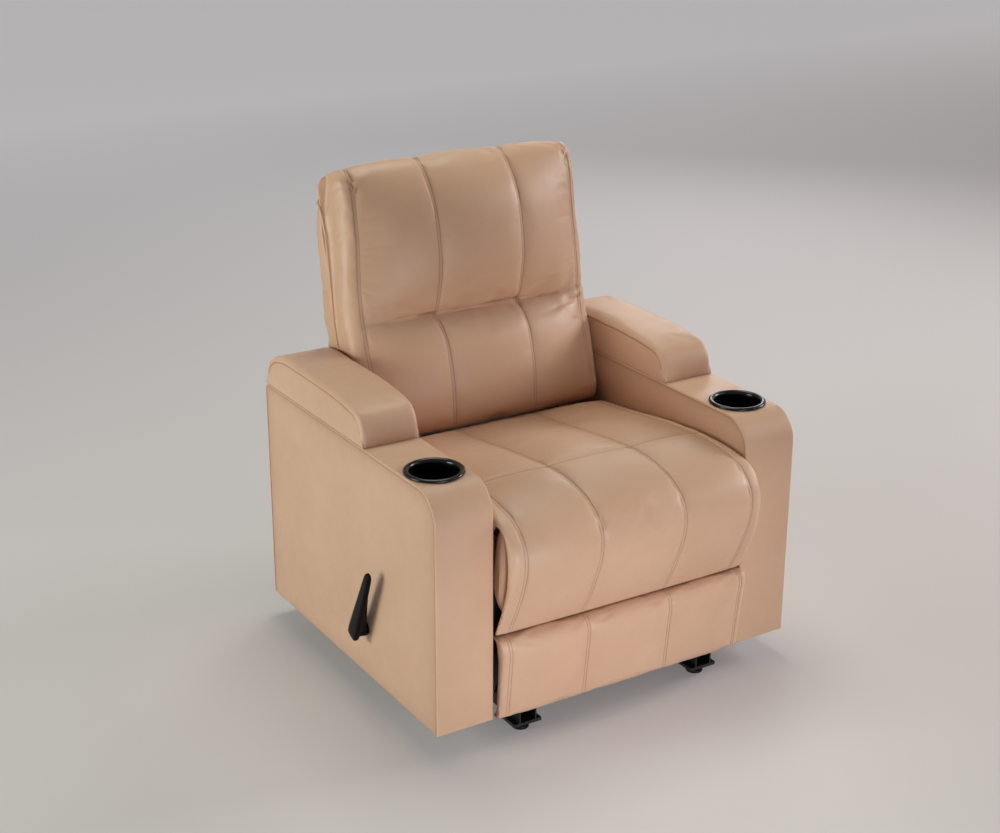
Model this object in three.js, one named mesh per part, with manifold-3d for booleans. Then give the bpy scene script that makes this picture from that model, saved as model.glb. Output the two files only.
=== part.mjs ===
// A hand-operated cinema recliner seat: box arms with pads and cup holders, a quilted seat and back,
// a legrest stowed under the seat front, and the steel linkage and wooden frames that carry them.
// Millimetres. The sitter faces -Y with the left hand at +X, and +Z is up. While it is drawn, X = 0 is
// the middle, Y = 0 the arms' front face and Z = 0 the floor; the group then moves its origin to the
// middle of its footprint.

import * as THREE from 'three';
import { mergeVertices } from 'three/addons/utils/BufferGeometryUtils.js';
import Module from 'manifold-3d';

const wasm = await Module();
wasm.setup();

// Clearances
const restGap = 0.3;
const pinGap = 0.3;
const cutOverrun = 5;
const weldDepth = 1;

// Arms
const overallWidth = 860;
const armWidth = 127;
const armRearOverhang = 250;
const armUnderside = 57;
const armTop = 558;
const armFrontRadius = 66;
const armEdgeRadius = 8;
const armPadding = 10;
const armBoardThickness = 12;
const armTopBoardThickness = 18;
const armTopBoardSetback = 8;

// Arm pads
const armPadRearInset = 5;
const armPadLength = 452;
const armPadHeight = 84;
const armPadEdgeDrop = 12;

// Cup holders
const cupCentreSetback = 114;
const cupFlangeRadius = 60;
const cupFlangeHeight = 6;
const cupRimRadius = 3;
const cupBodyRadius = 49.5;
const cupWall = 2;
const cupDepth = 75;
const cupHoleClearance = 1;

// Seat
const seatSideGap = 3;
const seatReach = 490;
const seatHeight = 508;
const seatHemGap = 3;
const seatCoreCover = 70;
const seatCoreLift = 5;
const seatCoreFront = 22;
const seatCoreTopRadiusShare = 0.4167;
const seatCoreBottomRadiusShare = 0.1389;
const seatCoreInset = 3;
const seatLining = 20;

// Quilting
const seamOffset = 100;
const bolsterInset = 14;
const seamHalfWidth = 7;
const seamDepth = 4;
const panelCrownHeight = 5;
const crossSeamSetback = 118;

// Back
const backHeight = 1029;
const backHeadHalfWidth = 308;
const backPanelHalfWidth = 305;
const backLowerHalfWidth = 299;
const backFoot = 380;
const backThickness = 220;
const backOverlap = 8;
const backCutDepth = 60;
const headFootShare = 0.503;
const lumbarTopShare = 0.502;
const lumbarFootShare = 0.1073;

// Back frame
const postInner = 205;
const postOuter = 238;
const postThickness = 24;
const postFootInset = 6;
const postTopShare = 0.8012;
const backRailHeight = 36;
const backTopRailDrop = 4;
const backBottomRailLift = 22;
const backRailThickness = 22;
const backSpringRecess = 9;
const backHingeSetback = 80;
const backHingeZ = 340;
const backBracketThickness = 4;
const backBracketWidth = 36;
const backBracketTopShare = 0.2157;
const hingeStudRadius = 6;

// Legrest
const legrestTop = 237;
const legrestBottom = 58;
const legrestBulge = 32;
const legrestPadBack = 12;
const legrestBoardThickness = 15;
const legrestBoardHalfWidth = 255;
const legrestBoardInset = 9;

// Linkage
const rearPivotY = 190;
const rearPivotZ = 205;
const rearLinkLength = 170;
const frontLinkLength = 290;
const bracketPivotY = 25;
const bracketPivotZ = 190;
const controlPivotY = 184;
const controlPivotZ = 234;
const controlPinAlong = 26;
const controlPinAside = 30;
const controlEndRadius = 9;
const controlEyeRadius = 11;
const openPivotGap = 1.8;
const linkHalfWidth = 12;
const linkThickness = 5;
const linkSpacing = 4;
const linkPinRadius = 5;
const linkCollarRadius = 9;
const bracketFoot = 96;
const bracketFlangeTop = 165;
const bracketFlangeReach = 70;
const bracketFlangeThickness = 4;

// Legrest springs
const springPostRadius = 4;
const springAnchorY = 430;
const springAnchorZ = 112;
const springPostPlace = 100;
const springPostReach = 16;
const springCoilRadius = 7;
const springHookWire = 1.5;

// Side plates, cross tubes and seat frame
const sidePlateInner = 244;
const sidePlateThickness = 4;
const sidePlateFront = 46;
const sidePlateHeelLength = 42;
const sidePlateTop = 249;
const sidePlateEarLength = 24;
const sidePlateEarHalfWidth = 22;
const sidePlateHeelHeight = 190;
const sidePlateNoseHeight = 90;
const sidePlateNoseSlope = 44;
const flangeSetback = 42;
const crossTubeRadius = 10;
const frontTubeY = 120;
const frontTubeZ = 150;
const rearTubeSetback = 10;
const rearTubeZ = 120;
const seatRailThickness = 26;
const seatRailTop = 325;
const seatRailFront = 14;
const seatRailSetback = 38;
const seatCrossRailThickness = 25;
const rearApronSetback = 212;
const rearApronThickness = 12;
const rearApronTop = 330;

// Springs under the cushions
const springWireRadius = 2;
const springHalfWidth = 24;
const seatSpringSpacing = 150;
const backSpringSpacing = 220;
const springEndInset = 10;

// Base
const baseRailInner = 200;
const baseRailOuter = 240;
const baseRailBottom = 24;
const baseRailTop = 54;
const baseRailWall = 3;
const baseRailStart = 4;
const baseRailSetback = 134;
const basePlateHalfWidth = 32;
const basePlateThickness = 6;
const basePlateLength = 58;
const glideSetback = 33;
const glideRadius = 18;
const glideDiscHeight = 6;
const glideTaperHeight = 4;
const glideStemRadius = 8;
const crossBarFront = 84;
const crossBarRearInset = 84;
const crossBarLeg = 28;
const crossBarWall = 3;

// Lever
const leverAxisY = 288;
const leverAxisZ = 165;
const leverLean = 25;
const leverReach = 168;
const leverHeelRadius = 18;
const leverTipRadius = 7;
const leverBladeThickness = 12;
const leverEdgeRadius = 3;
const leverStandOff = 36;
const leverHubRadius = 15;
const leverHubGap = 1;
const leverSocketDepth = 20;
const shaftRadius = 7;
const shaftHoleRadius = 9;
const shaftInnerEnd = 3;
const crankLength = 46;
const crankRestAngle = -82;
const crankToeRadius = 6;
const crankHubRadius = 13;

// Counts
const roundSides = 16;
const cupSides = 28;
const arcSteps = 5;
const bevelSteps = 2;
const seatRows = 22;
const headRows = 13;
const lumbarRows = 9;
const legrestRowCount = 8;
const armPadRows = 16;
const backPanelRows = 11;
const seatSpringCount = 3;
const backSpringCount = 2;
const springTurns = 12;
const stepsPerTurn = 4;
const wireSides = 5;
const hookSides = 5;

// Outlines as shares of the sizes they follow: first the depth share, then the height share
const seatTopShares = [[1, 0.8104], [0.79, 0.873], [0.56, 0.9356], [0.35, 0.981], [0.21, 1], [0.08, 0.981],
  [-0.027, 0.9242], [-0.102, 0.8351], [-0.139, 0.727], [-0.143, 0.5963], [-0.12, 0.437], [-0.078, 0.2418],
  [-0.033, 0.0712], [-0.01, 0]];
const seatSideShares = [[1, 0.746], [0.79, 0.8104], [0.56, 0.8673], [0.35, 0.892], [0.21, 0.8957],
  [0.08, 0.8825], [-0.006, 0.8503], [-0.073, 0.7801], [-0.104, 0.6607], [-0.114, 0.5261], [-0.094, 0.3726],
  [-0.055, 0.202], [-0.026, 0.0712], [-0.008, 0]];
const seatUnderShares = [[1, 0.7157], [0.6, 0.7157], [0.3, 0.7157], [0.12, 0.7081], [0.02, 0.6531],
  [-0.016, 0.5413], [-0.016, 0.4105], [0, 0.2987], [0.04, 0.1849], [0.04, 0.075], [0.04, 0]];
const headShares = [[0.9677, 0.9017], [0.9419, 0.9366], [0.8806, 0.9683], [0.7741, 0.9968], [0.645, 0.9921],
  [0.5482, 0.973], [0.3804, 0.9176], [0.2674, 0.8494], [0.2093, 0.7574], [0.1867, 0.6813], [0.2093, 0.6147],
  [0.2642, 0.5513], [0.39, headFootShare]];
const headSideShares = [[0.9742, 0.8985], [0.9613, 0.9287], [0.9225, 0.9493], [0.8548, 0.9604],
  [0.7902, 0.9461], [0.7257, 0.9128], [0.6289, 0.8573], [0.5643, 0.7939], [0.5159, 0.7305], [0.4772, 0.667],
  [0.4675, 0.6036], [0.4772, 0.5481], [0.5159, headFootShare]];
const lumbarShares = [[0.39, lumbarTopShare], [0.219, 0.4815], [0.0899, 0.434], [0.0189, 0.3563],
  [-0.0263, 0.2818], [-0.0263, 0.2072], [0.0092, 0.1581], [0.1448, lumbarFootShare]];
const lumbarSideShares = [[0.5159, lumbarTopShare], [0.4352, 0.4609], [0.3707, 0.4134], [0.3223, 0.3563],
  [0.2965, 0.2818], [0.2835, 0.2072], [0.2835, 0.1581], [0.3223, lumbarFootShare]];
const slitShares = [[0.4998, -0.0147], [0.6127, 0.4038], [0.687, 0.4815], [0.7321, 0.5989],
  [0.7773, 0.7162], [0.8548, 0.8145], [0.9322, 0.8827], [1.0097, 0.9334]];
const rearShares = [[0.9677, 0.9128], [0.9968, 0.8636], [1.0065, 0.8097], [0.9903, 0.7289], [0.958, 0.6639],
  [0.9355, 0.5513], [0.887, 0.4403], [0.8612, 0.3658], [0.829, 0.185], [0.7967, 0]];
const legrestShares = [[0.35, 1], [-0.22, 1], [-0.7, 0.975], [-1, 0.87], [-0.97, 0.75], [-0.76, 0.42],
  [-0.52, 0.06], [-0.2, 0], [0.35, 0]];
const legrestSideShares = [[0.35, 0.985], [-0.35, 0.985], [-0.72, 0.965], [-0.8, 0.93], [-0.68, 0.7],
  [-0.5, 0.4], [-0.28, 0.06], [-0.1, 0], [0.35, 0]];
const armPadShares = [[0, 0.06], [0.006, 0.36], [0.03, 0.69], [0.084, 0.82], [0.29, 0.96], [0.6, 1],
  [0.78, 0.995], [0.87, 0.905], [0.955, 0.7], [0.99, 0.4], [1, 0.06]];
const armPadColumnShares = [-1, -0.94, -0.75, -0.35, 0, 0.35, 0.75, 0.94, 1];
const rearColumnShares = [-1, -0.96, -0.85, -0.5, 0, 0.5, 0.85, 0.96, 1];
const middleColumnShare = 0.6;
const bolsterColumnShares = [0.35, 0.72];
const springLeadShare = 0.025;
const seatEdgePower = 6;
const backEdgePower = 8;
const padEdgePower = 6;
const rearEdgePower = 10;
const rearCrownShare = 0.5;

// Sizes that follow from the ones above
const halfWidth = overallWidth / 2;
const armInner = halfWidth - armWidth;
const armLength = seatReach + armRearOverhang;
const armPadStart = armLength - armPadRearInset - armPadLength;
const armMiddle = halfWidth - armWidth / 2;
const seatHalfWidth = armInner - seatSideGap;
const seatHem = legrestTop + seatHemGap;
const seatCoreTop = seatHeight - seatCoreCover;
const seatCoreBottom = seatRailTop + seatCoreLift;
const seatCoreTopRadius = seatCoreTopRadiusShare * (seatCoreTop - seatCoreBottom);
const seatCoreBottomRadius = seatCoreBottomRadiusShare * (seatCoreTop - seatCoreBottom);
const seatRailRear = seatReach + seatRailSetback;
const backRise = backHeight - backFoot;
const headFoot = backFoot + headFootShare * backRise;
const lumbarFoot = backFoot + lumbarFootShare * backRise;
const postFoot = backFoot + postFootInset;
const postTop = backFoot + postTopShare * backRise;
const backTopRailTop = postTop - backTopRailDrop;
const backBottomRailFoot = backFoot + backBottomRailLift;
const backBracketTop = backFoot + backBracketTopShare * backRise;
const backHingeY = seatReach + backHingeSetback;
const sidePlateRear = backHingeY + sidePlateHeelLength;
const sidePlateEarFront = backHingeY - sidePlateEarLength;
const flangeRear = seatReach + flangeSetback;
const rearTubeY = seatReach + rearTubeSetback;
const rearApronFront = seatReach + rearApronSetback;
const baseRailEnd = seatReach + baseRailSetback;
const crossBarRear = baseRailEnd - crossBarRearInset;
const sidePlateOuter = sidePlateInner + sidePlateThickness;
const rearLinkInner = sidePlateOuter + linkSpacing;
const rearLinkOuter = rearLinkInner + linkThickness;
const frontLinkInner = rearLinkOuter + linkSpacing;
const frontLinkOuter = frontLinkInner + linkThickness;
const bracketInner = frontLinkOuter + linkSpacing;
const bracketOuter = bracketInner + linkThickness;
const flangeOuter = armInner - restGap;
const flangeBottom = sidePlateTop - sidePlateThickness;
const seatRailBottom = sidePlateTop + restGap;
const seatRailOuter = armInner - restGap;
const seatRailInner = seatRailOuter - seatRailThickness;
const legrestBoardFront = legrestPadBack + restGap;
const legrestBoardBack = legrestBoardFront + legrestBoardThickness;
const cupHoleRadius = cupBodyRadius + cupHoleClearance;
const basePlateBottom = baseRailBottom - basePlateThickness;
const baseMiddle = (baseRailInner + baseRailOuter) / 2;
const springPostEnd = bracketOuter + springPostReach;
const springX = springPostEnd - springCoilRadius - restGap;

// Finishes
const leather = { color: 0xcdae90, roughness: 0.48, metalness: 0 };
const foam = { color: 0xe3d6ba, roughness: 0.95, metalness: 0 };
const glossBlack = { color: 0x0b0b0c, roughness: 0.12, metalness: 0 };
const blackSteel = { color: 0x1c1c1e, roughness: 0.45, metalness: 0.7 };
const zincSteel = { color: 0x9a9da0, roughness: 0.35, metalness: 0.9 };
const blackPlastic = { color: 0x121213, roughness: 0.5, metalness: 0 };
const hardwood = { color: 0xb48a5a, roughness: 0.75, metalness: 0 };
const plywood = { color: 0xc8a877, roughness: 0.8, metalness: 0 };
const apronCloth = { color: 0x2a2826, roughness: 0.95, metalness: 0 };

const chair = new THREE.Group();

function addPiece(name, geometry, finish) {
  const piece = new THREE.Mesh(geometry, new THREE.MeshStandardMaterial(finish));
  piece.name = name;
  chair.add(piece);
}

// Solids and their cuts

function toSolid(geometry) {
  const bare = geometry.clone();
  bare.deleteAttribute('normal');
  bare.deleteAttribute('uv');
  const welded = mergeVertices(bare);
  return new wasm.Manifold(new wasm.Mesh({
    numProp: 3,
    vertProperties: new Float32Array(welded.attributes.position.array),
    triVerts: new Uint32Array(welded.index.array),
  }));
}

function toGeometry(solid) {
  const mesh = solid.getMesh();
  const geometry = new THREE.BufferGeometry();
  geometry.setAttribute('position', new THREE.BufferAttribute(mesh.vertProperties, mesh.numProp));
  geometry.setIndex(new THREE.BufferAttribute(mesh.triVerts, 1));
  geometry.computeVertexNormals();
  return geometry;
}

function join(...geometries) {
  return toGeometry(geometries.map(toSolid).reduce((whole, next) => whole.add(next)));
}

function cut(geometry, ...tools) {
  return toGeometry(tools.map(toSolid).reduce((whole, next) => whole.subtract(next), toSolid(geometry)));
}

function common(first, second) {
  return toGeometry(toSolid(first).intersect(toSolid(second)));
}

// Basic solids placed by their limits

function block(xLow, xHigh, yLow, yHigh, zLow, zHigh) {
  const geometry = new THREE.BoxGeometry(xHigh - xLow, yHigh - yLow, zHigh - zLow);
  geometry.translate((xLow + xHigh) / 2, (yLow + yHigh) / 2, (zLow + zHigh) / 2);
  return geometry;
}

function rodAcross(radius, xLow, xHigh, y, z) {
  const geometry = new THREE.CylinderGeometry(radius, radius, xHigh - xLow, roundSides);
  geometry.rotateZ(Math.PI / 2);
  geometry.translate((xLow + xHigh) / 2, y, z);
  return geometry;
}

function rodUp(radius, x, y, zLow, zHigh, sides) {
  const geometry = new THREE.CylinderGeometry(radius, radius, zHigh - zLow, sides);
  geometry.rotateX(Math.PI / 2);
  geometry.translate(x, y, (zLow + zHigh) / 2);
  return geometry;
}

// An outline drawn in depth and height, made solid between two places across the seat
function plate(shape, xLow, xHigh, bevel = 0) {
  const geometry = new THREE.ExtrudeGeometry(shape, {
    depth: xHigh - xLow - 2 * bevel,
    bevelEnabled: bevel > 0,
    bevelThickness: bevel,
    bevelSize: bevel,
    bevelOffset: -bevel,
    bevelSegments: bevelSteps,
    curveSegments: arcSteps,
  });
  geometry.applyMatrix4(new THREE.Matrix4().makeBasis(
    new THREE.Vector3(0, 1, 0), new THREE.Vector3(0, 0, 1), new THREE.Vector3(1, 0, 0)));
  geometry.translate(xLow + bevel, 0, 0);
  return geometry;
}

function ring(radius, sides) {
  return Array.from({ length: sides }, (_, step) => {
    const angle = (2 * Math.PI * step) / sides;
    return new THREE.Vector2(radius * Math.cos(angle), radius * Math.sin(angle));
  });
}

function polygon(points) {
  return new THREE.Shape(points.map(([y, z]) => new THREE.Vector2(y, z)));
}

// The limits across the seat of a piece that lies between two distances from the middle, on one side
function across(side, near, far) {
  return side > 0 ? [near, far] : [-far, -near];
}

function sideName(side) {
  return side > 0 ? 'left' : 'right';
}

// A bar with round ends of two radii between two points, with the given round holes
function barOutline(from, to, fromRadius, toRadius, holeRadius = 0, holes = []) {
  const heading = Math.atan2(to[1] - from[1], to[0] - from[0]);
  const shape = new THREE.Shape();
  shape.absarc(from[0], from[1], fromRadius, heading + Math.PI / 2, heading + 3 * Math.PI / 2, false);
  shape.absarc(to[0], to[1], toRadius, heading - Math.PI / 2, heading + Math.PI / 2, false);
  for (const [y, z] of holes) {
    const rim = ring(holeRadius, roundSides).map((point) => point.add(new THREE.Vector2(y, z)));
    shape.holes.push(new THREE.Path(rim));
  }
  return shape;
}

// A pin that stands out from a face across the seat, sunk into it by the weld
function pin(side, radius, face, end, [y, z]) {
  const root = face + Math.sign(face - end) * weldDepth;
  const [low, high] = across(side, Math.min(root, end), Math.max(root, end));
  return rodAcross(radius, low, high, y, z);
}

// Soft forms

function curveRows(places, rows) {
  const curve = new THREE.SplineCurve(places.map(([y, z]) => new THREE.Vector2(y, z)));
  return curve.getSpacedPoints(rows);
}

// Columns of a quilted piece: the two long seams, the bolster seams and the panels between them
function quiltColumns(edge) {
  const bolster = edge - bolsterInset;
  const panel = bolster - seamOffset;
  const half = [seamOffset * middleColumnShare, seamOffset - seamHalfWidth, seamOffset,
    seamOffset + seamHalfWidth,
    ...bolsterColumnShares.map((share) => seamOffset + share * panel),
    bolster - seamHalfWidth, bolster, edge];
  return [...half.map((x) => -x).reverse(), 0, ...half];
}

// How far the quilted surface stands above its plain profile at a place across the seat
function quiltRise(x, edge) {
  const bolster = edge - bolsterInset;
  const place = Math.abs(x);
  if (place === seamOffset || place === bolster) return -seamDepth;
  if (place > bolster) return 0;
  const middle = place < seamOffset ? 0 : (seamOffset + bolster) / 2;
  const reach = place < seamOffset ? seamOffset : (bolster - seamOffset) / 2;
  const share = (place - middle) / reach;
  return panelCrownHeight * (1 - share * share);
}

function raise(outer, inner, rise) {
  const away = outer.clone().sub(inner).normalize();
  return outer.clone().addScaledVector(away, rise);
}

// One closed solid between two grids of points, each a list of rows with equally many columns
function closeGrids(outer, inner) {
  const rows = outer.length;
  const columns = outer[0].length;
  const positions = [outer, inner].flat(2).flatMap((point) => [point.x, point.y, point.z]);
  const at = (layer, row, column) => (layer * rows + row) * columns + column;
  const faces = [];
  const quad = (a, b, c, d) => faces.push(a, b, c, a, c, d);
  for (let row = 0; row < rows - 1; row += 1) {
    for (let column = 0; column < columns - 1; column += 1) {
      quad(at(0, row, column), at(0, row + 1, column), at(0, row + 1, column + 1), at(0, row, column + 1));
      quad(at(1, row, column), at(1, row, column + 1), at(1, row + 1, column + 1), at(1, row + 1, column));
    }
    quad(at(0, row, 0), at(1, row, 0), at(1, row + 1, 0), at(0, row + 1, 0));
    quad(at(0, row, columns - 1), at(0, row + 1, columns - 1), at(1, row + 1, columns - 1),
      at(1, row, columns - 1));
  }
  for (let column = 0; column < columns - 1; column += 1) {
    quad(at(0, 0, column), at(0, 0, column + 1), at(1, 0, column + 1), at(1, 0, column));
    quad(at(0, rows - 1, column), at(1, rows - 1, column), at(1, rows - 1, column + 1),
      at(0, rows - 1, column + 1));
  }
  const geometry = new THREE.BufferGeometry();
  geometry.setAttribute('position', new THREE.Float32BufferAttribute(positions, 3));
  geometry.setIndex(faces);
  if (facesInwards(geometry)) geometry.setIndex(faces.reverse());
  geometry.computeVertexNormals();
  return geometry;
}

function facesInwards(geometry) {
  const { position } = geometry.attributes;
  const corners = [new THREE.Vector3(), new THREE.Vector3(), new THREE.Vector3()];
  let volume = 0;
  for (let place = 0; place < geometry.index.count; place += corners.length) {
    corners.forEach((corner, step) => {
      corner.fromBufferAttribute(position, geometry.index.getX(place + step));
    });
    volume += corners[0].dot(corners[1].clone().cross(corners[2]));
  }
  return volume < 0;
}

// A quilted cushion: its surface runs from the middle profile to the side profile, over an inner profile
function quiltedCushion(middle, sideLine, inner, edge, power, crossSeamRow = -1) {
  const columns = quiltColumns(edge);
  const outerGrid = [];
  const innerGrid = [];
  middle.forEach((point, row) => {
    const under = inner[row];
    const outerRow = columns.map((x) => {
      const edgeShare = Math.pow(Math.abs(x) / edge, power);
      const place = point.clone().lerp(sideLine[row], edgeShare);
      const seam = row === crossSeamRow ? -seamDepth : quiltRise(x, edge);
      const raised = raise(place, under, row === 0 || row === middle.length - 1 ? 0 : seam);
      return new THREE.Vector3(x, raised.x, raised.y);
    });
    outerGrid.push(outerRow);
    innerGrid.push(columns.map((x) => new THREE.Vector3(x, under.x, under.y)));
  });
  return closeGrids(outerGrid, innerGrid);
}

// Arms

function armOutline(inset, bottom) {
  const radius = armFrontRadius - inset;
  const top = armTop - inset;
  const shape = new THREE.Shape();
  shape.moveTo(inset, bottom);
  shape.lineTo(armLength - inset, bottom);
  shape.lineTo(armLength - inset, top);
  shape.lineTo(inset + radius, top);
  shape.absarc(inset + radius, top - radius, radius, Math.PI / 2, Math.PI, false);
  return shape;
}

function cupCut(side, radius) {
  return rodUp(radius, side * armMiddle, cupCentreSetback, armTop - cupDepth - cutOverrun,
    armTop + cutOverrun, cupSides);
}

function shaftCut(xLow, xHigh) {
  return rodAcross(shaftHoleRadius, xLow, xHigh, leverAxisY, leverAxisZ);
}

function armCover(side) {
  const [low, high] = across(side, armInner, halfWidth);
  const hollow = plate(armOutline(armPadding, armUnderside - cutOverrun), low + armPadding,
    high - armPadding);
  const cuts = [hollow, cupCut(side, cupHoleRadius)];
  if (side < 0) cuts.push(shaftCut(low - cutOverrun, high + cutOverrun));
  return cut(plate(armOutline(0, armUnderside), low, high, armEdgeRadius), ...cuts);
}

function armBoard(side, near) {
  const [low, high] = across(side, near, near + armBoardThickness);
  const cuts = [cupCut(side, cupHoleRadius)];
  if (side < 0) cuts.push(shaftCut(low - cutOverrun, high + cutOverrun));
  return cut(plate(armOutline(armPadding + restGap, armUnderside), low, high), ...cuts);
}

function armPad(side) {
  const profile = curveRows(armPadShares.map(([y, z]) => [
    armPadStart + y * armPadLength, armTop + restGap + z * armPadHeight]), armPadRows);
  const outer = profile.map((point) => armPadColumnShares.map((share) => {
    const lift = point.y - armTop - restGap;
    const drop = Math.min(armPadEdgeDrop * Math.pow(Math.abs(share), padEdgePower), lift / 2);
    return new THREE.Vector3(side * armMiddle + (share * armWidth) / 2, point.x, point.y - drop);
  }));
  const inner = profile.map((point, row) => armPadColumnShares.map((share) => new THREE.Vector3(
    side * armMiddle + (share * armWidth) / 2, armPadStart + (row / armPadRows) * armPadLength,
    armTop + restGap)));
  return closeGrids(outer, inner);
}

function cupHolder(side) {
  const seat = armTop + restGap;
  const top = seat + cupFlangeHeight;
  const bottom = armTop - cupDepth + cupHoleClearance;
  const inner = cupBodyRadius - cupWall;
  const profile = [
    [0, bottom], [cupBodyRadius, bottom], [cupBodyRadius, seat], [cupFlangeRadius, seat],
    [cupFlangeRadius, top - cupRimRadius], [cupFlangeRadius - cupRimRadius, top],
    [inner + cupRimRadius, top], [inner, top - cupRimRadius], [inner, bottom + cupWall],
    [0, bottom + cupWall],
  ];
  const geometry = new THREE.LatheGeometry(profile.map(([r, z]) => new THREE.Vector2(r, z)), cupSides);
  geometry.rotateX(Math.PI / 2);
  geometry.translate(side * armMiddle, cupCentreSetback, 0);
  return geometry;
}

function buildArms() {
  const outerBoardNear = halfWidth - armPadding - restGap - armBoardThickness;
  const innerBoardNear = armInner + armPadding + restGap;
  const topBoardTop = armTop - armPadding - restGap;
  const topBoardFront = cupCentreSetback + cupHoleRadius + armTopBoardSetback;
  for (const side of [-1, 1]) {
    const name = sideName(side);
    addPiece(`arm_cover_${name}`, armCover(side), leather);
    addPiece(`arm_outer_board_${name}`, armBoard(side, outerBoardNear), plywood);
    addPiece(`arm_inner_board_${name}`, armBoard(side, innerBoardNear), plywood);
    const [low, high] = across(side, innerBoardNear + armBoardThickness + restGap, outerBoardNear - restGap);
    const topBoard = block(low, high, topBoardFront, armLength - armPadding - restGap,
      topBoardTop - armTopBoardThickness, topBoardTop);
    addPiece(`arm_top_board_${name}`, topBoard, plywood);
    addPiece(`arm_pad_${name}`, armPad(side), leather);
    addPiece(`cup_holder_${name}`, cupHolder(side), glossBlack);
  }
}

// Seat

// A place on the seat: its depth share runs to the seat's rear, its height share from the hem to the crown
function seatPlace([y, z]) {
  return [y * seatReach, seatHem + z * (seatHeight - seatHem)];
}

function seatCore(grow) {
  const front = -seatCoreFront - grow;
  const top = seatCoreTop + grow;
  const bottom = seatCoreBottom - grow;
  const topRadius = seatCoreTopRadius + grow;
  const bottomRadius = seatCoreBottomRadius + grow;
  const shape = new THREE.Shape();
  shape.moveTo(seatReach + grow * 2, bottom);
  shape.lineTo(seatReach + grow * 2, top);
  shape.lineTo(front + topRadius, top);
  shape.absarc(front + topRadius, top - topRadius, topRadius, Math.PI / 2, Math.PI, false);
  shape.absarc(front + bottomRadius, bottom + bottomRadius, bottomRadius, Math.PI, 3 * Math.PI / 2, false);
  const edge = seatHalfWidth - seatCoreInset + (grow > 0 ? seatCoreInset + cutOverrun : 0);
  return plate(shape, -edge, edge);
}

function seatCushion() {
  const middle = curveRows(seatTopShares.map(seatPlace), seatRows);
  const sideLine = curveRows(seatSideShares.map(seatPlace), seatRows);
  const under = curveRows(seatUnderShares.map(seatPlace), seatRows);
  const distances = middle.map((point) => Math.abs(point.x - crossSeamSetback));
  const crossSeamRow = distances.indexOf(Math.min(...distances));
  const form = quiltedCushion(middle, sideLine, under, seatHalfWidth, seatEdgePower, crossSeamRow);
  const edge = seatHalfWidth + cutOverrun;
  const railSpace = block(-edge, edge, seatRailFront - restGap, seatRailFront + seatLining,
    seatHem - cutOverrun, seatRailTop + restGap);
  return cut(form, seatCore(restGap), railSpace);
}

// A sinuous spring: a wire that swings from side to side of a line, given as a place for each share of it
function sinuousSpring(lineAt) {
  const points = [lineAt(0), lineAt(springLeadShare)];
  for (let turn = 1; turn < springTurns; turn += 1) {
    const place = lineAt(turn / springTurns);
    place.x += turn % 2 === 0 ? springHalfWidth : -springHalfWidth;
    points.push(place);
  }
  points.push(lineAt(1 - springLeadShare), lineAt(1));
  return new THREE.ExtrudeGeometry(new THREE.Shape(ring(springWireRadius, wireSides)), {
    steps: springTurns * stepsPerTurn,
    bevelEnabled: false,
    extrudePath: new THREE.CatmullRomCurve3(points),
  });
}

function spread(count, spacing) {
  return Array.from({ length: count }, (_, place) => (place - (count - 1) / 2) * spacing);
}

function buildSeat() {
  addPiece('seat_cushion', seatCushion(), leather);
  addPiece('seat_core', seatCore(0), foam);
  for (const side of [-1, 1]) {
    const [low, high] = across(side, seatRailInner, seatRailOuter);
    const rail = block(low, high, seatRailFront, seatRailRear, seatRailBottom, seatRailTop);
    addPiece(`seat_side_rail_${sideName(side)}`, rail, hardwood);
  }
  const railEnd = seatRailInner - restGap;
  addPiece('seat_front_rail', block(-railEnd, railEnd, seatRailFront,
    seatRailFront + seatCrossRailThickness, seatRailBottom, seatRailTop), hardwood);
  addPiece('seat_rear_rail', block(-railEnd, railEnd, seatRailRear - seatCrossRailThickness,
    seatRailRear, seatRailBottom, seatRailTop), hardwood);
  const height = seatRailTop + restGap + springWireRadius;
  const front = seatRailFront + springEndInset;
  const length = seatRailRear - springEndInset - front;
  spread(seatSpringCount, seatSpringSpacing).forEach((x, place) => {
    const spring = sinuousSpring((share) => new THREE.Vector3(x, front + share * length, height));
    addPiece(`seat_spring_${place + 1}`, spring, zincSteel);
  });
}

// Back

// A place on the back: its depth share is behind the seat's rear, its height share above the back's foot
function backPlace([y, z]) {
  return [seatReach + y * backThickness, backFoot + z * backRise];
}

// The line where the front cushions meet the rear panel, moved rearwards by a shift
function slitLine(shift) {
  return slitShares.map(backPlace).map(([y, z]) => [y + shift, z]);
}

function slitDepthAt(height) {
  const line = slitLine(0);
  const place = Math.max(1, line.findIndex(([, z]) => z >= height));
  const [lowY, lowZ] = line[place - 1];
  const [highY, highZ] = line[place];
  return lowY + ((highY - lowY) * (height - lowZ)) / (highZ - lowZ);
}

function behindSlit(shift, edge) {
  const line = slitLine(shift);
  const rear = seatReach + backThickness + backCutDepth;
  const topZ = line[line.length - 1][1];
  return plate(polygon([...line, [rear, topZ], [rear, line[0][1]]]), -edge, edge);
}

// A band of the given thickness behind the slit line, between two heights
function slitBand(shift, thickness, bottom, top, xLow, xHigh) {
  const inside = slitLine(0).map(([, z]) => z).filter((z) => z > bottom && z < top);
  const heights = [bottom, ...inside, top];
  const front = heights.map((z) => [slitDepthAt(z) + shift, z]);
  const rear = heights.map((z) => [slitDepthAt(z) + shift + thickness, z]).reverse();
  return plate(polygon([...front, ...rear]), xLow, xHigh);
}

function behindRows(rows, heightAt) {
  return rows.map((_, row) => {
    const height = heightAt(row / (rows.length - 1));
    return new THREE.Vector2(slitDepthAt(height) + backOverlap, height);
  });
}

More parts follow.
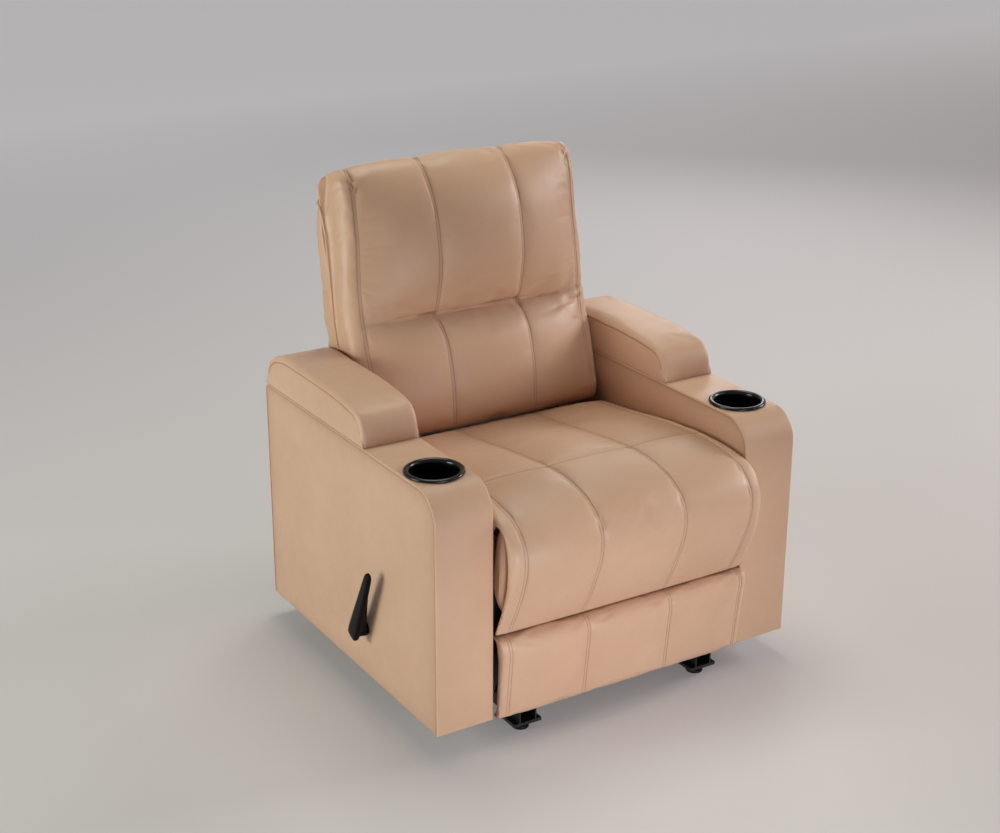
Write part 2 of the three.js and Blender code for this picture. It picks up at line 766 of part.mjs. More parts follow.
function headCushion() {
  const middle = curveRows(headShares.map(backPlace), headRows);
  const sideLine = curveRows(headSideShares.map(backPlace), headRows);
  const top = middle[0].y;
  const inner = behindRows(middle, (share) => top + share * (headFoot - top));
  const form = quiltedCushion(middle, sideLine, inner, backHeadHalfWidth, backEdgePower);
  return cut(form, behindSlit(-restGap, backHeadHalfWidth + cutOverrun));
}

function lumbarCushion() {
  const middle = curveRows(lumbarShares.map(backPlace), lumbarRows);
  const sideLine = curveRows(lumbarSideShares.map(backPlace), lumbarRows);
  const top = middle[0].y;
  const inner = behindRows(middle, (share) => top + share * (lumbarFoot - top));
  const form = quiltedCushion(middle, sideLine, inner, backLowerHalfWidth, backEdgePower);
  return cut(form, behindSlit(-restGap, backLowerHalfWidth + cutOverrun));
}

// The space in the rear panel for the posts, rails, springs and hinge brackets
function frameSpaces() {
  const bottom = backFoot - cutOverrun;
  const depth = cutOverrun + postThickness + restGap;
  const bracketOuterFace = postOuter + restGap + backBracketThickness + restGap;
  const spaces = [-1, 1].map((side) => {
    const [low, high] = across(side, postInner - restGap, bracketOuterFace);
    return slitBand(-cutOverrun, depth, bottom, postTop + restGap, low, high);
  });
  const railDepth = cutOverrun + backRailThickness + restGap;
  const railLimits = [
    [backTopRailTop - backRailHeight - restGap, backTopRailTop + restGap],
    [bottom, backBottomRailFoot + backRailHeight + restGap],
  ];
  for (const [low, high] of railLimits) {
    spaces.push(slitBand(-cutOverrun, railDepth, low, high, -postInner, postInner));
  }
  const recess = cutOverrun + backSpringRecess;
  spaces.push(slitBand(-cutOverrun, recess, bottom, backTopRailTop, -postInner, postInner));
  return spaces;
}

function backPanel() {
  const rear = curveRows(rearShares.map(backPlace), backPanelRows);
  const edgeAt = (height) => (height > headFoot ? backPanelHalfWidth : backLowerHalfWidth);
  const outer = rear.map((point) => rearColumnShares.map((share) => {
    const thickness = point.x - slitDepthAt(point.y);
    const draw = thickness * rearCrownShare * Math.pow(Math.abs(share), rearEdgePower);
    return new THREE.Vector3(share * edgeAt(point.y), point.x - draw, point.y);
  }));
  const inner = rear.map((point) => rearColumnShares.map((share) => new THREE.Vector3(
    share * edgeAt(point.y), slitDepthAt(point.y) - backOverlap, point.y)));
  const form = common(closeGrids(outer, inner), behindSlit(0, backPanelHalfWidth + cutOverrun));
  return cut(form, ...frameSpaces());
}

function backBracket(side) {
  const near = postOuter + restGap;
  const [low, high] = across(side, near, near + backBracketThickness);
  const topY = slitDepthAt(backBracketTop) + postThickness / 2;
  const half = (postThickness - 2 * weldDepth) / 2;
  const kneeZ = postFoot + weldDepth;
  const kneeY = slitDepthAt(kneeZ) + postThickness / 2;
  const arm = polygon([[kneeY - half, kneeZ], [kneeY + half, kneeZ], [topY + half, backBracketTop],
    [topY - half, backBracketTop]]);
  const hinge = [backHingeY, backHingeZ];
  const lug = barOutline(hinge, [kneeY, kneeZ], backBracketWidth / 2, half, hingeStudRadius + pinGap,
    [hinge]);
  return join(plate(lug, low, high), plate(arm, low, high));
}

function buildBack() {
  addPiece('head_cushion', headCushion(), leather);
  addPiece('lumbar_cushion', lumbarCushion(), leather);
  addPiece('back_panel', backPanel(), leather);
  for (const side of [-1, 1]) {
    const [low, high] = across(side, postInner, postOuter);
    addPiece(`back_post_${sideName(side)}`,
      slitBand(0, postThickness, postFoot, postTop, low, high), hardwood);
    addPiece(`back_bracket_${sideName(side)}`, backBracket(side), blackSteel);
  }
  const railEnd = postInner - restGap;
  addPiece('back_top_rail', slitBand(0, backRailThickness, backTopRailTop - backRailHeight,
    backTopRailTop, -railEnd, railEnd), hardwood);
  addPiece('back_bottom_rail', slitBand(0, backRailThickness, backBottomRailFoot,
    backBottomRailFoot + backRailHeight, -railEnd, railEnd), hardwood);
  const springBottom = backBottomRailFoot + backRailHeight + restGap + springWireRadius / 2;
  const springTop = backTopRailTop - backRailHeight - restGap - springWireRadius / 2;
  spread(backSpringCount, backSpringSpacing).forEach((x, place) => {
    const spring = sinuousSpring((share) => {
      const height = springBottom + share * (springTop - springBottom);
      return new THREE.Vector3(x, slitDepthAt(height) + backSpringRecess / 2, height);
    });
    addPiece(`back_spring_${place + 1}`, spring, zincSteel);
  });
}

// Steel base on glide feet

function baseRail(side) {
  const [low, high] = across(side, baseRailInner, baseRailOuter);
  const bar = block(low, high, baseRailStart, baseRailEnd, baseRailBottom, baseRailTop);
  const hollow = block(low + baseRailWall, high - baseRailWall, baseRailStart - cutOverrun,
    baseRailEnd + cutOverrun, baseRailBottom - cutOverrun, baseRailTop - baseRailWall);
  const plates = glidePlaces(side).map(([x, y]) => block(x - basePlateHalfWidth, x + basePlateHalfWidth,
    y - basePlateLength / 2, y + basePlateLength / 2, basePlateBottom, baseRailBottom + weldDepth));
  return join(cut(bar, hollow), ...plates);
}

function glidePlaces(side) {
  return [glideSetback, baseRailEnd + baseRailStart - glideSetback].map((y) => [side * baseMiddle, y]);
}

function glide(x, y) {
  const top = basePlateBottom - restGap;
  const taperTop = glideDiscHeight + glideTaperHeight;
  const profile = [[0, 0], [glideRadius, 0], [glideRadius, glideDiscHeight], [glideStemRadius, taperTop],
    [glideStemRadius, top], [0, top]];
  const geometry = new THREE.LatheGeometry(profile.map(([r, z]) => new THREE.Vector2(r, z)), roundSides);
  geometry.rotateX(Math.PI / 2);
  geometry.translate(x, y, 0);
  return geometry;
}

function crossBar(front) {
  const end = baseRailInner - restGap;
  const bar = block(-end, end, front, front + crossBarLeg, baseRailBottom, baseRailBottom + crossBarLeg);
  const corner = block(-end - cutOverrun, end + cutOverrun, front + crossBarWall,
    front + crossBarLeg + cutOverrun, baseRailBottom - cutOverrun,
    baseRailBottom + crossBarLeg - crossBarWall);
  return cut(bar, corner);
}

function buildBase() {
  addPiece('base_front_bar', crossBar(crossBarFront), blackSteel);
  addPiece('base_rear_bar', crossBar(crossBarRear), blackSteel);
  for (const side of [-1, 1]) {
    const name = sideName(side);
    addPiece(`base_rail_${name}`, baseRail(side), blackSteel);
    const [front, rear] = glidePlaces(side);
    addPiece(`glide_front_${name}`, glide(...front), blackPlastic);
    addPiece(`glide_rear_${name}`, glide(...rear), blackPlastic);
  }
}

// Pivots of the legrest linkage, each as its place in depth and height

// The lower of the two points at the given distances from two centres
function lowerMeeting([y1, z1], radius1, [y2, z2], radius2) {
  const distance = Math.hypot(y2 - y1, z2 - z1);
  const along = (radius1 ** 2 - radius2 ** 2 + distance ** 2) / (2 * distance);
  const offset = Math.sqrt(radius1 ** 2 - along ** 2);
  const unit = [(y2 - y1) / distance, (z2 - z1) / distance];
  const meetings = [-1, 1].map((way) => [
    y1 + unit[0] * along - way * unit[1] * offset, z1 + unit[1] * along + way * unit[0] * offset]);
  return meetings[0][1] < meetings[1][1] ? meetings[0] : meetings[1];
}

// The point at a distance from one point towards another, moved aside of that line
function towards(from, to, along, aside = 0) {
  const span = Math.hypot(to[0] - from[0], to[1] - from[1]);
  const unit = [(to[0] - from[0]) / span, (to[1] - from[1]) / span];
  return [from[0] + unit[0] * along + unit[1] * aside, from[1] + unit[1] * along - unit[0] * aside];
}

const rearPivot = [rearPivotY, rearPivotZ];
const bracketPivot = [bracketPivotY, bracketPivotZ];
const controlPivot = [controlPivotY, controlPivotZ];
const springAnchor = [springAnchorY, springAnchorZ];
const kneePivot = lowerMeeting(rearPivot, rearLinkLength, bracketPivot, frontLinkLength);
const openPivot = towards(kneePivot, bracketPivot, controlPinAlong, controlPinAside);
const springPost = towards(controlPivot, openPivot, springPostPlace);

// Carriage: the plates that slide on the base and carry the seat, the back and the linkage

function sidePlateOutline() {
  const bottom = baseRailTop + restGap;
  const shape = new THREE.Shape();
  shape.moveTo(sidePlateFront, sidePlateTop);
  shape.lineTo(sidePlateFront, sidePlateTop - sidePlateNoseHeight);
  shape.lineTo(sidePlateFront + sidePlateNoseSlope, bottom);
  shape.lineTo(sidePlateRear, bottom);
  shape.lineTo(sidePlateRear, sidePlateHeelHeight);
  shape.absarc(backHingeY, backHingeZ, sidePlateEarHalfWidth, 0, Math.PI, false);
  shape.lineTo(sidePlateEarFront, sidePlateTop);
  return shape;
}

function sidePlate(side) {
  const bottom = baseRailTop + restGap;
  const [low, high] = across(side, sidePlateInner, sidePlateOuter);
  const [topLow, topHigh] = across(side, sidePlateInner, flangeOuter);
  const [footLow, footHigh] = across(side, baseRailInner + cutOverrun, sidePlateOuter);
  const web = plate(sidePlateOutline(), low, high);
  const topFlange = block(topLow, topHigh, sidePlateFront + sidePlateThickness, flangeRear,
    flangeBottom, sidePlateTop);
  const foot = block(footLow, footHigh, sidePlateFront + sidePlateNoseSlope + sidePlateThickness,
    sidePlateRear - sidePlateThickness, bottom, bottom + sidePlateThickness);
  const collar = pin(side, linkCollarRadius, sidePlateOuter, rearLinkInner - restGap, rearPivot);
  const linkPin = pin(side, linkPinRadius, sidePlateOuter, rearLinkOuter + restGap, rearPivot);
  const hingePin = pin(side, hingeStudRadius, sidePlateInner, postOuter - restGap,
    [backHingeY, backHingeZ]);
  const controlCollar = pin(side, linkCollarRadius, sidePlateOuter, bracketInner - restGap, controlPivot);
  const controlPin = pin(side, linkPinRadius, sidePlateOuter, bracketOuter + restGap, controlPivot);
  const anchor = pin(side, springPostRadius, sidePlateOuter, springPostEnd, springAnchor);
  const pins = [collar, linkPin, controlCollar, controlPin, hingePin, anchor];
  const whole = join(web, topFlange, foot, ...pins);
  if (side > 0) return whole;
  return cut(whole, rodAcross(shaftRadius + pinGap, low - cutOverrun, high + cutOverrun,
    leverAxisY, leverAxisZ));
}

function buildCarriage() {
  const tubeEnd = sidePlateInner - restGap;
  for (const side of [-1, 1]) addPiece(`side_plate_${sideName(side)}`, sidePlate(side), blackSteel);
  addPiece('front_cross_tube', rodAcross(crossTubeRadius, -tubeEnd, tubeEnd, frontTubeY, frontTubeZ),
    blackSteel);
  addPiece('rear_cross_tube', rodAcross(crossTubeRadius, -tubeEnd, tubeEnd, rearTubeY, rearTubeZ),
    blackSteel);
  const apronEnd = armInner - restGap;
  addPiece('rear_apron', block(-apronEnd, apronEnd, rearApronFront, rearApronFront + rearApronThickness,
    armUnderside, rearApronTop), apronCloth);
}

// Legrest linkage

function rearLink(side) {
  const [low, high] = across(side, rearLinkInner, rearLinkOuter);
  return plate(barOutline(rearPivot, kneePivot, linkHalfWidth, linkHalfWidth, linkPinRadius + pinGap,
    [rearPivot, kneePivot]), low, high);
}

function frontLink(side) {
  const [low, high] = across(side, frontLinkInner, frontLinkOuter);
  const outline = barOutline(kneePivot, bracketPivot, linkHalfWidth, linkHalfWidth,
    linkPinRadius + pinGap, [bracketPivot]);
  const lug = barOutline(kneePivot, openPivot, linkHalfWidth, linkCollarRadius);
  const collar = pin(side, linkCollarRadius, frontLinkInner, rearLinkOuter + restGap, kneePivot);
  const knee = pin(side, linkPinRadius, frontLinkInner, rearLinkInner - restGap, kneePivot);
  const openCollar = pin(side, linkCollarRadius, frontLinkOuter, bracketInner - restGap, openPivot);
  const openPin = pin(side, linkPinRadius, frontLinkOuter, bracketOuter + restGap, openPivot);
  return join(plate(outline, low, high), plate(lug, low, high), collar, knee, openCollar, openPin);
}

// The link that steadies the front link: its eye takes the open pin with room to spare
function controlLink(side) {
  const [low, high] = across(side, bracketInner, bracketOuter);
  const bar = plate(barOutline(controlPivot, openPivot, controlEndRadius, controlEyeRadius,
    linkPinRadius + pinGap, [controlPivot]), low, high);
  const eye = rodAcross(linkPinRadius + openPivotGap, low - cutOverrun, high + cutOverrun, ...openPivot);
  const post = pin(side, springPostRadius, bracketOuter, springPostEnd, springPost);
  return join(cut(bar, eye), post);
}

function legrestBracket(side) {
  const flangeFront = legrestBoardBack + restGap;
  const flangeRearFace = flangeFront + bracketFlangeThickness;
  const [low, high] = across(side, bracketInner, bracketOuter);
  const [flangeLow, flangeHigh] = across(side, bracketOuter - bracketFlangeReach, bracketOuter);
  const web = block(low, high, legrestPadBack + 2 * weldDepth, flangeRearFace, bracketFoot, bracketPivotZ);
  const lug = rodAcross(linkHalfWidth, low, high, bracketPivotY, bracketPivotZ);
  const flange = block(flangeLow, flangeHigh, flangeFront, flangeRearFace, bracketFoot, bracketFlangeTop);
  const collar = pin(side, linkCollarRadius, bracketInner, frontLinkOuter + restGap, bracketPivot);
  const bracketPin = pin(side, linkPinRadius, bracketInner, frontLinkInner - restGap, bracketPivot);
  return join(web, lug, flange, collar, bracketPin);
}

// A close-wound spring with a hook round each post
function legrestSpring(side) {
  const [anchorY, anchorZ] = springAnchor;
  const [postY, postZ] = springPost;
  const heading = Math.atan2(postZ - anchorZ, postY - anchorY);
  const span = Math.hypot(postZ - anchorZ, postY - anchorY);
  const hookRadius = springPostRadius + pinGap + springHookWire;
  const coil = new THREE.CylinderGeometry(springCoilRadius, springCoilRadius, span - 2 * hookRadius,
    roundSides);
  coil.rotateX(heading);
  coil.translate(side * springX, (anchorY + postY) / 2, (anchorZ + postZ) / 2);
  const hooks = [springAnchor, springPost].map(([y, z]) => {
    const hook = new THREE.TorusGeometry(hookRadius, springHookWire, hookSides, roundSides);
    hook.rotateY(Math.PI / 2);
    hook.translate(side * springX, y, z);
    return hook;
  });
  return join(coil, ...hooks);
}

function legrestRows(shares) {
  const height = legrestTop - legrestBottom;
  return curveRows(shares.map(([y, z]) => [y * legrestBulge, legrestBottom + z * height]),
    legrestRowCount);
}

function legrestPad() {
  const middle = legrestRows(legrestShares);
  const sideLine = legrestRows(legrestSideShares);
  const top = legrestTop - legrestBoardInset;
  const bottom = legrestBottom + legrestBoardInset;
  const inner = middle.map((_, row) => new THREE.Vector2(legrestPadBack,
    top + ((bottom - top) * row) / legrestRowCount));
  return quiltedCushion(middle, sideLine, inner, seatHalfWidth, seatEdgePower);
}

function buildLegrest() {
  addPiece('legrest_pad', legrestPad(), leather);
  addPiece('legrest_board', block(-legrestBoardHalfWidth, legrestBoardHalfWidth, legrestBoardFront,
    legrestBoardBack, legrestBottom + legrestBoardInset, legrestTop - legrestBoardInset), plywood);
  for (const side of [-1, 1]) {
    const name = sideName(side);
    addPiece(`legrest_bracket_${name}`, legrestBracket(side), blackSteel);
    addPiece(`front_link_${name}`, frontLink(side), blackSteel);
    addPiece(`rear_link_${name}`, rearLink(side), blackSteel);
    addPiece(`control_link_${name}`, controlLink(side), blackSteel);
    addPiece(`legrest_spring_${name}`, legrestSpring(side), zincSteel);
  }
}

// Pull lever, on the right arm

function leverHandle() {
  const lean = THREE.MathUtils.degToRad(leverLean);
  const axis = [leverAxisY, leverAxisZ];
  const tip = [leverAxisY - leverReach * Math.sin(lean), leverAxisZ + leverReach * Math.cos(lean)];
  const outer = halfWidth + leverStandOff;
  const hubFace = halfWidth + leverHubGap;
  const blade = plate(barOutline(axis, tip, leverHeelRadius, leverTipRadius), -outer,
    -outer + leverBladeThickness, leverEdgeRadius);
  const hub = rodAcross(leverHubRadius, -outer + leverBladeThickness / 2, -hubFace, ...axis);
  const socket = rodAcross(shaftRadius + pinGap, -hubFace - leverSocketDepth, -hubFace + cutOverrun,
    ...axis);
  return cut(join(blade, hub), socket);
}

function leverCrank() {
  const axis = [leverAxisY, leverAxisZ];
  const angle = THREE.MathUtils.degToRad(crankRestAngle);
  const toe = [leverAxisY + crankLength * Math.cos(angle), leverAxisZ + crankLength * Math.sin(angle)];
  return plate(barOutline(axis, toe, crankHubRadius, crankToeRadius, shaftRadius + restGap, [axis]),
    -rearLinkOuter, -rearLinkInner);
}

function buildLever() {
  const shaftOuterEnd = halfWidth + leverHubGap + leverSocketDepth - restGap;
  addPiece('lever_handle', leverHandle(), glossBlack);
  addPiece('lever_shaft', rodAcross(shaftRadius, -shaftOuterEnd, -sidePlateInner + shaftInnerEnd,
    leverAxisY, leverAxisZ), zincSteel);
  addPiece('lever_crank', leverCrank(), blackSteel);
}

buildBase();
buildCarriage();
buildArms();
buildSeat();
buildBack();
buildLegrest();
buildLever();

const bounds = new THREE.Box3().setFromObject(chair);
const middle = bounds.getCenter(new THREE.Vector3());
chair.position.set(-middle.x, -middle.y, -bounds.min.z);

export default chair;
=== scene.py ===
"""Looks of a hand-operated cinema recliner seat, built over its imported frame.

The chair's own frame has x = 0 in the middle, y = 0 at the arms' front faces and z = 0 on the floor. Sizes
are in millimetres in that frame, and placed() moves them to the row frame in metres.
"""
import logging
import math
from contextlib import contextmanager
from dataclasses import dataclass, field
from enum import Enum
from typing import Iterable, Iterator, Optional, Sequence

import bpy
import numpy as np
from mathutils import Matrix, Vector


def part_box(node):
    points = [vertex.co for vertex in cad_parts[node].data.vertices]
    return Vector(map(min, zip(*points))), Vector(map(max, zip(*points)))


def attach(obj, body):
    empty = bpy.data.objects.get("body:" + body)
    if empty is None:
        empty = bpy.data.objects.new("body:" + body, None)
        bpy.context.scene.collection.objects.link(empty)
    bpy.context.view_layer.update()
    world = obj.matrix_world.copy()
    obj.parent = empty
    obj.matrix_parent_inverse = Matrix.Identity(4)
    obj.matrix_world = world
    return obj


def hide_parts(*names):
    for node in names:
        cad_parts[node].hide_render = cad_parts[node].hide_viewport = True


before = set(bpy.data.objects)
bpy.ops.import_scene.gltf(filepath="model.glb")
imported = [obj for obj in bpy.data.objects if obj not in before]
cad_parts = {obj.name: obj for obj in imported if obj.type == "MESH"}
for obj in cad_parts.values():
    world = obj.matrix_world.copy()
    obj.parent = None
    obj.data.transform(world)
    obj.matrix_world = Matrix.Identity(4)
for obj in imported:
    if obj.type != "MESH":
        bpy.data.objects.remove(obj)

LOG = logging.getLogger("recliner")
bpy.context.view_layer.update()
MM = 0.001  # one millimetre in metres
Points = Sequence[Sequence[float]]
Colour = tuple[float, float, float]
Array = np.ndarray
Piece = bpy.types.Object
Material = bpy.types.Material
Socket = bpy.types.NodeSocket


class Side(Enum):
    """A side of the chair, named by the sitter's hands."""

    LEFT = 1
    RIGHT = -1

    @property
    def word(self) -> str:
        """The side's word in the names of nodes and pieces."""
        return self.name.lower()


class Slot(Enum):
    """Names of the record's material slots, which nothing here assigns."""

    LEATHER = "leather"
    GLOSS = "gloss_black"
    PLASTIC = "black_plastic"


def chair_origin() -> Array:
    """Find the chair's own origin in the row frame.

    Returns:
        The origin in metres, from the seat's middle and the arms' front faces.
    """
    seat_low, seat_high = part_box("seat_cushion")
    arm_low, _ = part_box("arm_cover_left")
    return np.array([(seat_low.x + seat_high.x) / 2, arm_low.y, 0.0])


ORIGIN = chair_origin()


def placed(points: Array) -> Array:
    """Move points from the chair's frame in millimetres to the row frame in metres.

    Args:
        points: Any array of points whose last axis is x, y, z.

    Returns:
        The points in the row frame.
    """
    return np.asarray(points, float) * MM + ORIGIN


def ridge(far: Array, width: float, power: float = 2.0) -> Array:
    """A ridge that is 1 on its line and falls off to both sides.

    Args:
        far: How far each place is from the line.
        width: How far off it has fallen to about a third.
        power: How flat its crown is.

    Returns:
        Its height at each place.
    """
    return np.exp(-(np.abs(far) / width) ** power)


def spread(count: int, crowded: Sequence[float] = (), width: float = 0.04, extra: float = 2.0) -> Array:
    """Shares from 0 to 1, closer together round some of them.

    Args:
        count: How many shares.
        crowded: Where they are closer together.
        width: How far round each of these.
        extra: How much closer together.

    Returns:
        The shares.
    """
    fine = np.linspace(0, 1, 2001)
    density = np.ones_like(fine)
    for centre in crowded:
        density += extra * ridge(fine - centre, width)
    total = np.concatenate([[0], np.cumsum((density[1:] + density[:-1]) / 2)])
    return np.interp(np.linspace(0, total[-1], count), total, fine)


def smooth_curve(points: Points, shares: Array) -> Array:
    """Lay a smooth curve through points and take places along it.

    Args:
        points: The points the curve goes through.
        shares: The places to take, as shares of its length.

    Returns:
        The places.
    """
    given = np.asarray(points, float)
    ends = np.vstack([2 * given[0] - given[1], given, 2 * given[-1] - given[-2]])
    share = np.linspace(0, 1, 24, endpoint=False)[:, None]
    parts = []
    for before, start, stop, after in zip(ends, ends[1:], ends[2:], ends[3:]):
        parts.append(0.5 * (2 * start + (stop - before) * share
                            + (2 * before - 5 * start + 4 * stop - after) * share ** 2
                            + (3 * start - before - 3 * stop + after) * share ** 3))
    dense = np.vstack(parts + [given[-1:]])
    along = np.concatenate([[0], np.cumsum(np.linalg.norm(np.diff(dense, axis=0), axis=1))])
    places = np.asarray(shares) * along[-1]
    return np.stack([np.interp(places, along, dense[:, axis]) for axis in range(dense.shape[1])], 1)


def read_line(line: Points, places: Array) -> Array:
    """Read a measured line between its points.

    Args:
        line: Its points, each a place and the value there, in order of their places.
        places: The places to read it at.

    Returns:
        The values.
    """
    given = np.asarray(line, float)
    return np.interp(places, given[:, 0], given[:, 1])


def smooth_step(value: Array, low: float, high: float) -> Array:
    """Ease from 0 at low to 1 at high.

    Args:
        value: The values to ease.
        low: Where the step starts.
        high: Where it ends.

    Returns:
        The eased values.
    """
    share = np.clip((value - low) / (high - low), 0, 1)
    return share * share * (3 - 2 * share)


def deselect() -> None:
    """Leave nothing selected, so that an operator acts on what it is meant for."""
    if bpy.context.object is not None and bpy.context.object.mode != "OBJECT":
        bpy.ops.object.mode_set(mode="OBJECT")
    bpy.ops.object.select_all(action="DESELECT")


def take_up(piece: Piece) -> None:
    """Make one piece the only selected one, and the active one.

    Args:
        piece: The piece to work on.
    """
    deselect()
    piece.select_set(True)
    bpy.context.view_layer.objects.active = piece


@contextmanager
def editing(piece: Piece) -> Iterator[None]:
    """Edit one piece's mesh, with all of it selected at first.

    Args:
        piece: The piece to edit.
    """
    take_up(piece)
    bpy.ops.object.mode_set(mode="EDIT")
    bpy.ops.mesh.select_all(action="SELECT")
    yield
    bpy.ops.object.mode_set(mode="OBJECT")


def discard(piece: Piece) -> None:
    """Remove a helper piece with its mesh.

    Args:
        piece: The piece to remove.
    """
    mesh = piece.data
    bpy.data.objects.remove(piece)
    bpy.data.meshes.remove(mesh)


def apply_modifiers(piece: Piece) -> None:
    """Apply every modifier of a piece to its mesh.

    Args:
        piece: The piece to finish.
    """
    take_up(piece)
    for modifier in list(piece.modifiers):
        bpy.ops.object.modifier_apply(modifier=modifier.name)


def shade(piece: Piece, angle: float = 40.0) -> None:
    """Shade a piece smooth, with its sharp edges kept.

    Args:
        piece: The piece to shade.
        angle: Edges sharper than this stay sharp, in degrees.
    """
    take_up(piece)
    bpy.ops.object.shade_smooth_by_angle(angle=math.radians(angle))


def finish_piece(piece: Piece, body: str, material: Material,
                 nodes: Iterable[str] = ()) -> None:
    """Dress a piece, let it ride on its body, and report it.

    Args:
        piece: The finished mesh.
        body: The body that carries it.
        material: Its material.
        nodes: The CAD nodes that it stands for.
    """
    piece.data.materials.clear()
    piece.data.materials.append(material)
    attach(piece, body)
    if nodes:
        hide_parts(*nodes)
    LOG.info("%s: %d faces on %s", piece.name, len(piece.data.polygons), body)


def mesh_piece(name: str, points: Array, faces: Sequence[Sequence[int]]) -> Piece:
    """Make a mesh object from points and faces.

    Args:
        name: The piece's name.
        points: Its points in the row frame.
        faces: Its faces as lists of point numbers.

    Returns:
        The new object, at the origin.
    """
    mesh = bpy.data.meshes.new(name)
    mesh.from_pydata(np.asarray(points).tolist(), [], [list(map(int, face)) for face in faces])
    mesh.validate()
    piece = bpy.data.objects.new(name, mesh)
    bpy.context.scene.collection.objects.link(piece)
    return piece


def grid_faces(index: Array) -> Array:
    """Quads over a grid of point numbers.

    Args:
        index: The point numbers as rows and columns.

    Returns:
        One quad a row.
    """
    return np.stack([index[:-1, :-1], index[:-1, 1:], index[1:, 1:], index[1:, :-1]], -1).reshape(-1, 4)


@dataclass
class Skin:
    """A closed skin: an outer grid and a hidden inner grid that share their border points."""

    outer: Array
    inner: Array

    def build(self, name: str) -> Piece:
        """Make the closed mesh, with its faces outwards.

        Args:
            name: The piece's name.

        Returns:
            The new object. Its first points are the outer grid, row by row.
        """
        rows, columns = self.outer.shape[:2]
        outer = np.arange(rows * columns).reshape(rows, columns)
        inner = outer.copy()
        inside = (rows - 2) * (columns - 2)
        inner[1:-1, 1:-1] = rows * columns + np.arange(inside).reshape(rows - 2, columns - 2)
        points = np.vstack([self.outer.reshape(-1, 3), self.inner[1:-1, 1:-1].reshape(-1, 3)])
        faces = np.vstack([grid_faces(outer), grid_faces(inner)[:, ::-1]])
        corner = points[faces]
        volume = (np.cross(corner[:, 0], corner[:, 1]) * corner[:, 2]).sum()
        volume += (np.cross(corner[:, 0], corner[:, 2]) * corner[:, 3]).sum()
        return mesh_piece(name, points, faces if volume > 0 else faces[:, ::-1])


def mesh_points(piece: Piece) -> Array:
    """The points of a piece's mesh.

    Args:
        piece: The piece to read.

    Returns:
        Its points as an array.
    """
    flat = np.zeros(len(piece.data.vertices) * 3)
    piece.data.vertices.foreach_get("co", flat)
    return flat.reshape(-1, 3)


def set_mesh_points(piece: Piece, points: Array) -> None:
    """Move the points of a piece's mesh.

    Args:
        piece: The piece to change.
        points: Its new points.
    """
    piece.data.vertices.foreach_set("co", np.asarray(points, float).ravel())
    piece.data.update()


def mesh_normals(piece: Piece) -> Array:
    """The point normals of a piece's mesh.

    Args:
        piece: The piece to read.

    Returns:
        Its normals as an array.
    """
    flat = np.zeros(len(piece.data.vertices) * 3)
    piece.data.vertex_normals.foreach_get("vector", flat)
    return flat.reshape(-1, 3)


def set_shade(piece: Piece, name: str, values: Array) -> None:
    """Store a value for each point, for the material to read.

    Args:
        piece: The piece to mark.
        name: The attribute's name.
        values: One value for each point.
    """
    attribute = piece.data.attributes.get(name) or piece.data.attributes.new(name, "FLOAT", "POINT")
    attribute.data.foreach_set("value", np.asarray(values, np.float32))


@dataclass
class Padding:
    """How a cover fills out under its seams: a short cloth simulation with air pressure inside."""

    pressure: float = 4.0
    frames: int = 20
    reach: float = 0.012
    slack: float = 0.01
    bending: float = 0.6
    stretching: float = 20.0
    shearing: float = 8.0
    mass: float = 0.3
    quality: int = 4

    def fill(self, piece: Piece, held: Array) -> None:
        """Fill the piece, hold its sewn points, and keep the result in its mesh.

        Args:
            piece: A closed mesh.
            held: For each point, 1 where it is sewn or rests on something, and 0 where it is free.
        """
        before = mesh_points(piece)
        group = piece.vertex_groups.new(name="held")
        for weight in np.unique(np.round(held, 1)):
            members = np.nonzero(np.round(held, 1) == weight)[0]
            group.add(members.tolist(), float(weight), "REPLACE")
        modifier = piece.modifiers.new("padding", "CLOTH")
        settings = modifier.settings
        settings.quality = self.quality
        settings.mass = self.mass
        settings.tension_stiffness = settings.compression_stiffness = self.stretching
        settings.shear_stiffness = self.shearing
        settings.bending_stiffness = self.bending
        settings.use_pressure = True
        settings.uniform_pressure_force = self.pressure
        settings.effector_weights.gravity = 0
        settings.vertex_group_mass = "held"
        settings.shrink_min = -self.slack
        modifier.collision_settings.use_collision = False
        modifier.point_cache.frame_start = 1
        modifier.point_cache.frame_end = self.frames
        scene = bpy.context.scene
        for step in range(1, self.frames + 1):
            scene.frame_set(step)
        apply_modifiers(piece)
        scene.frame_set(1)
        piece.vertex_groups.clear()
        moved = mesh_points(piece) - before
        length = np.linalg.norm(moved, axis=1, keepdims=True)
        share = np.minimum(1, self.reach / np.maximum(length, 1e-9))
        set_mesh_points(piece, before + moved * share)


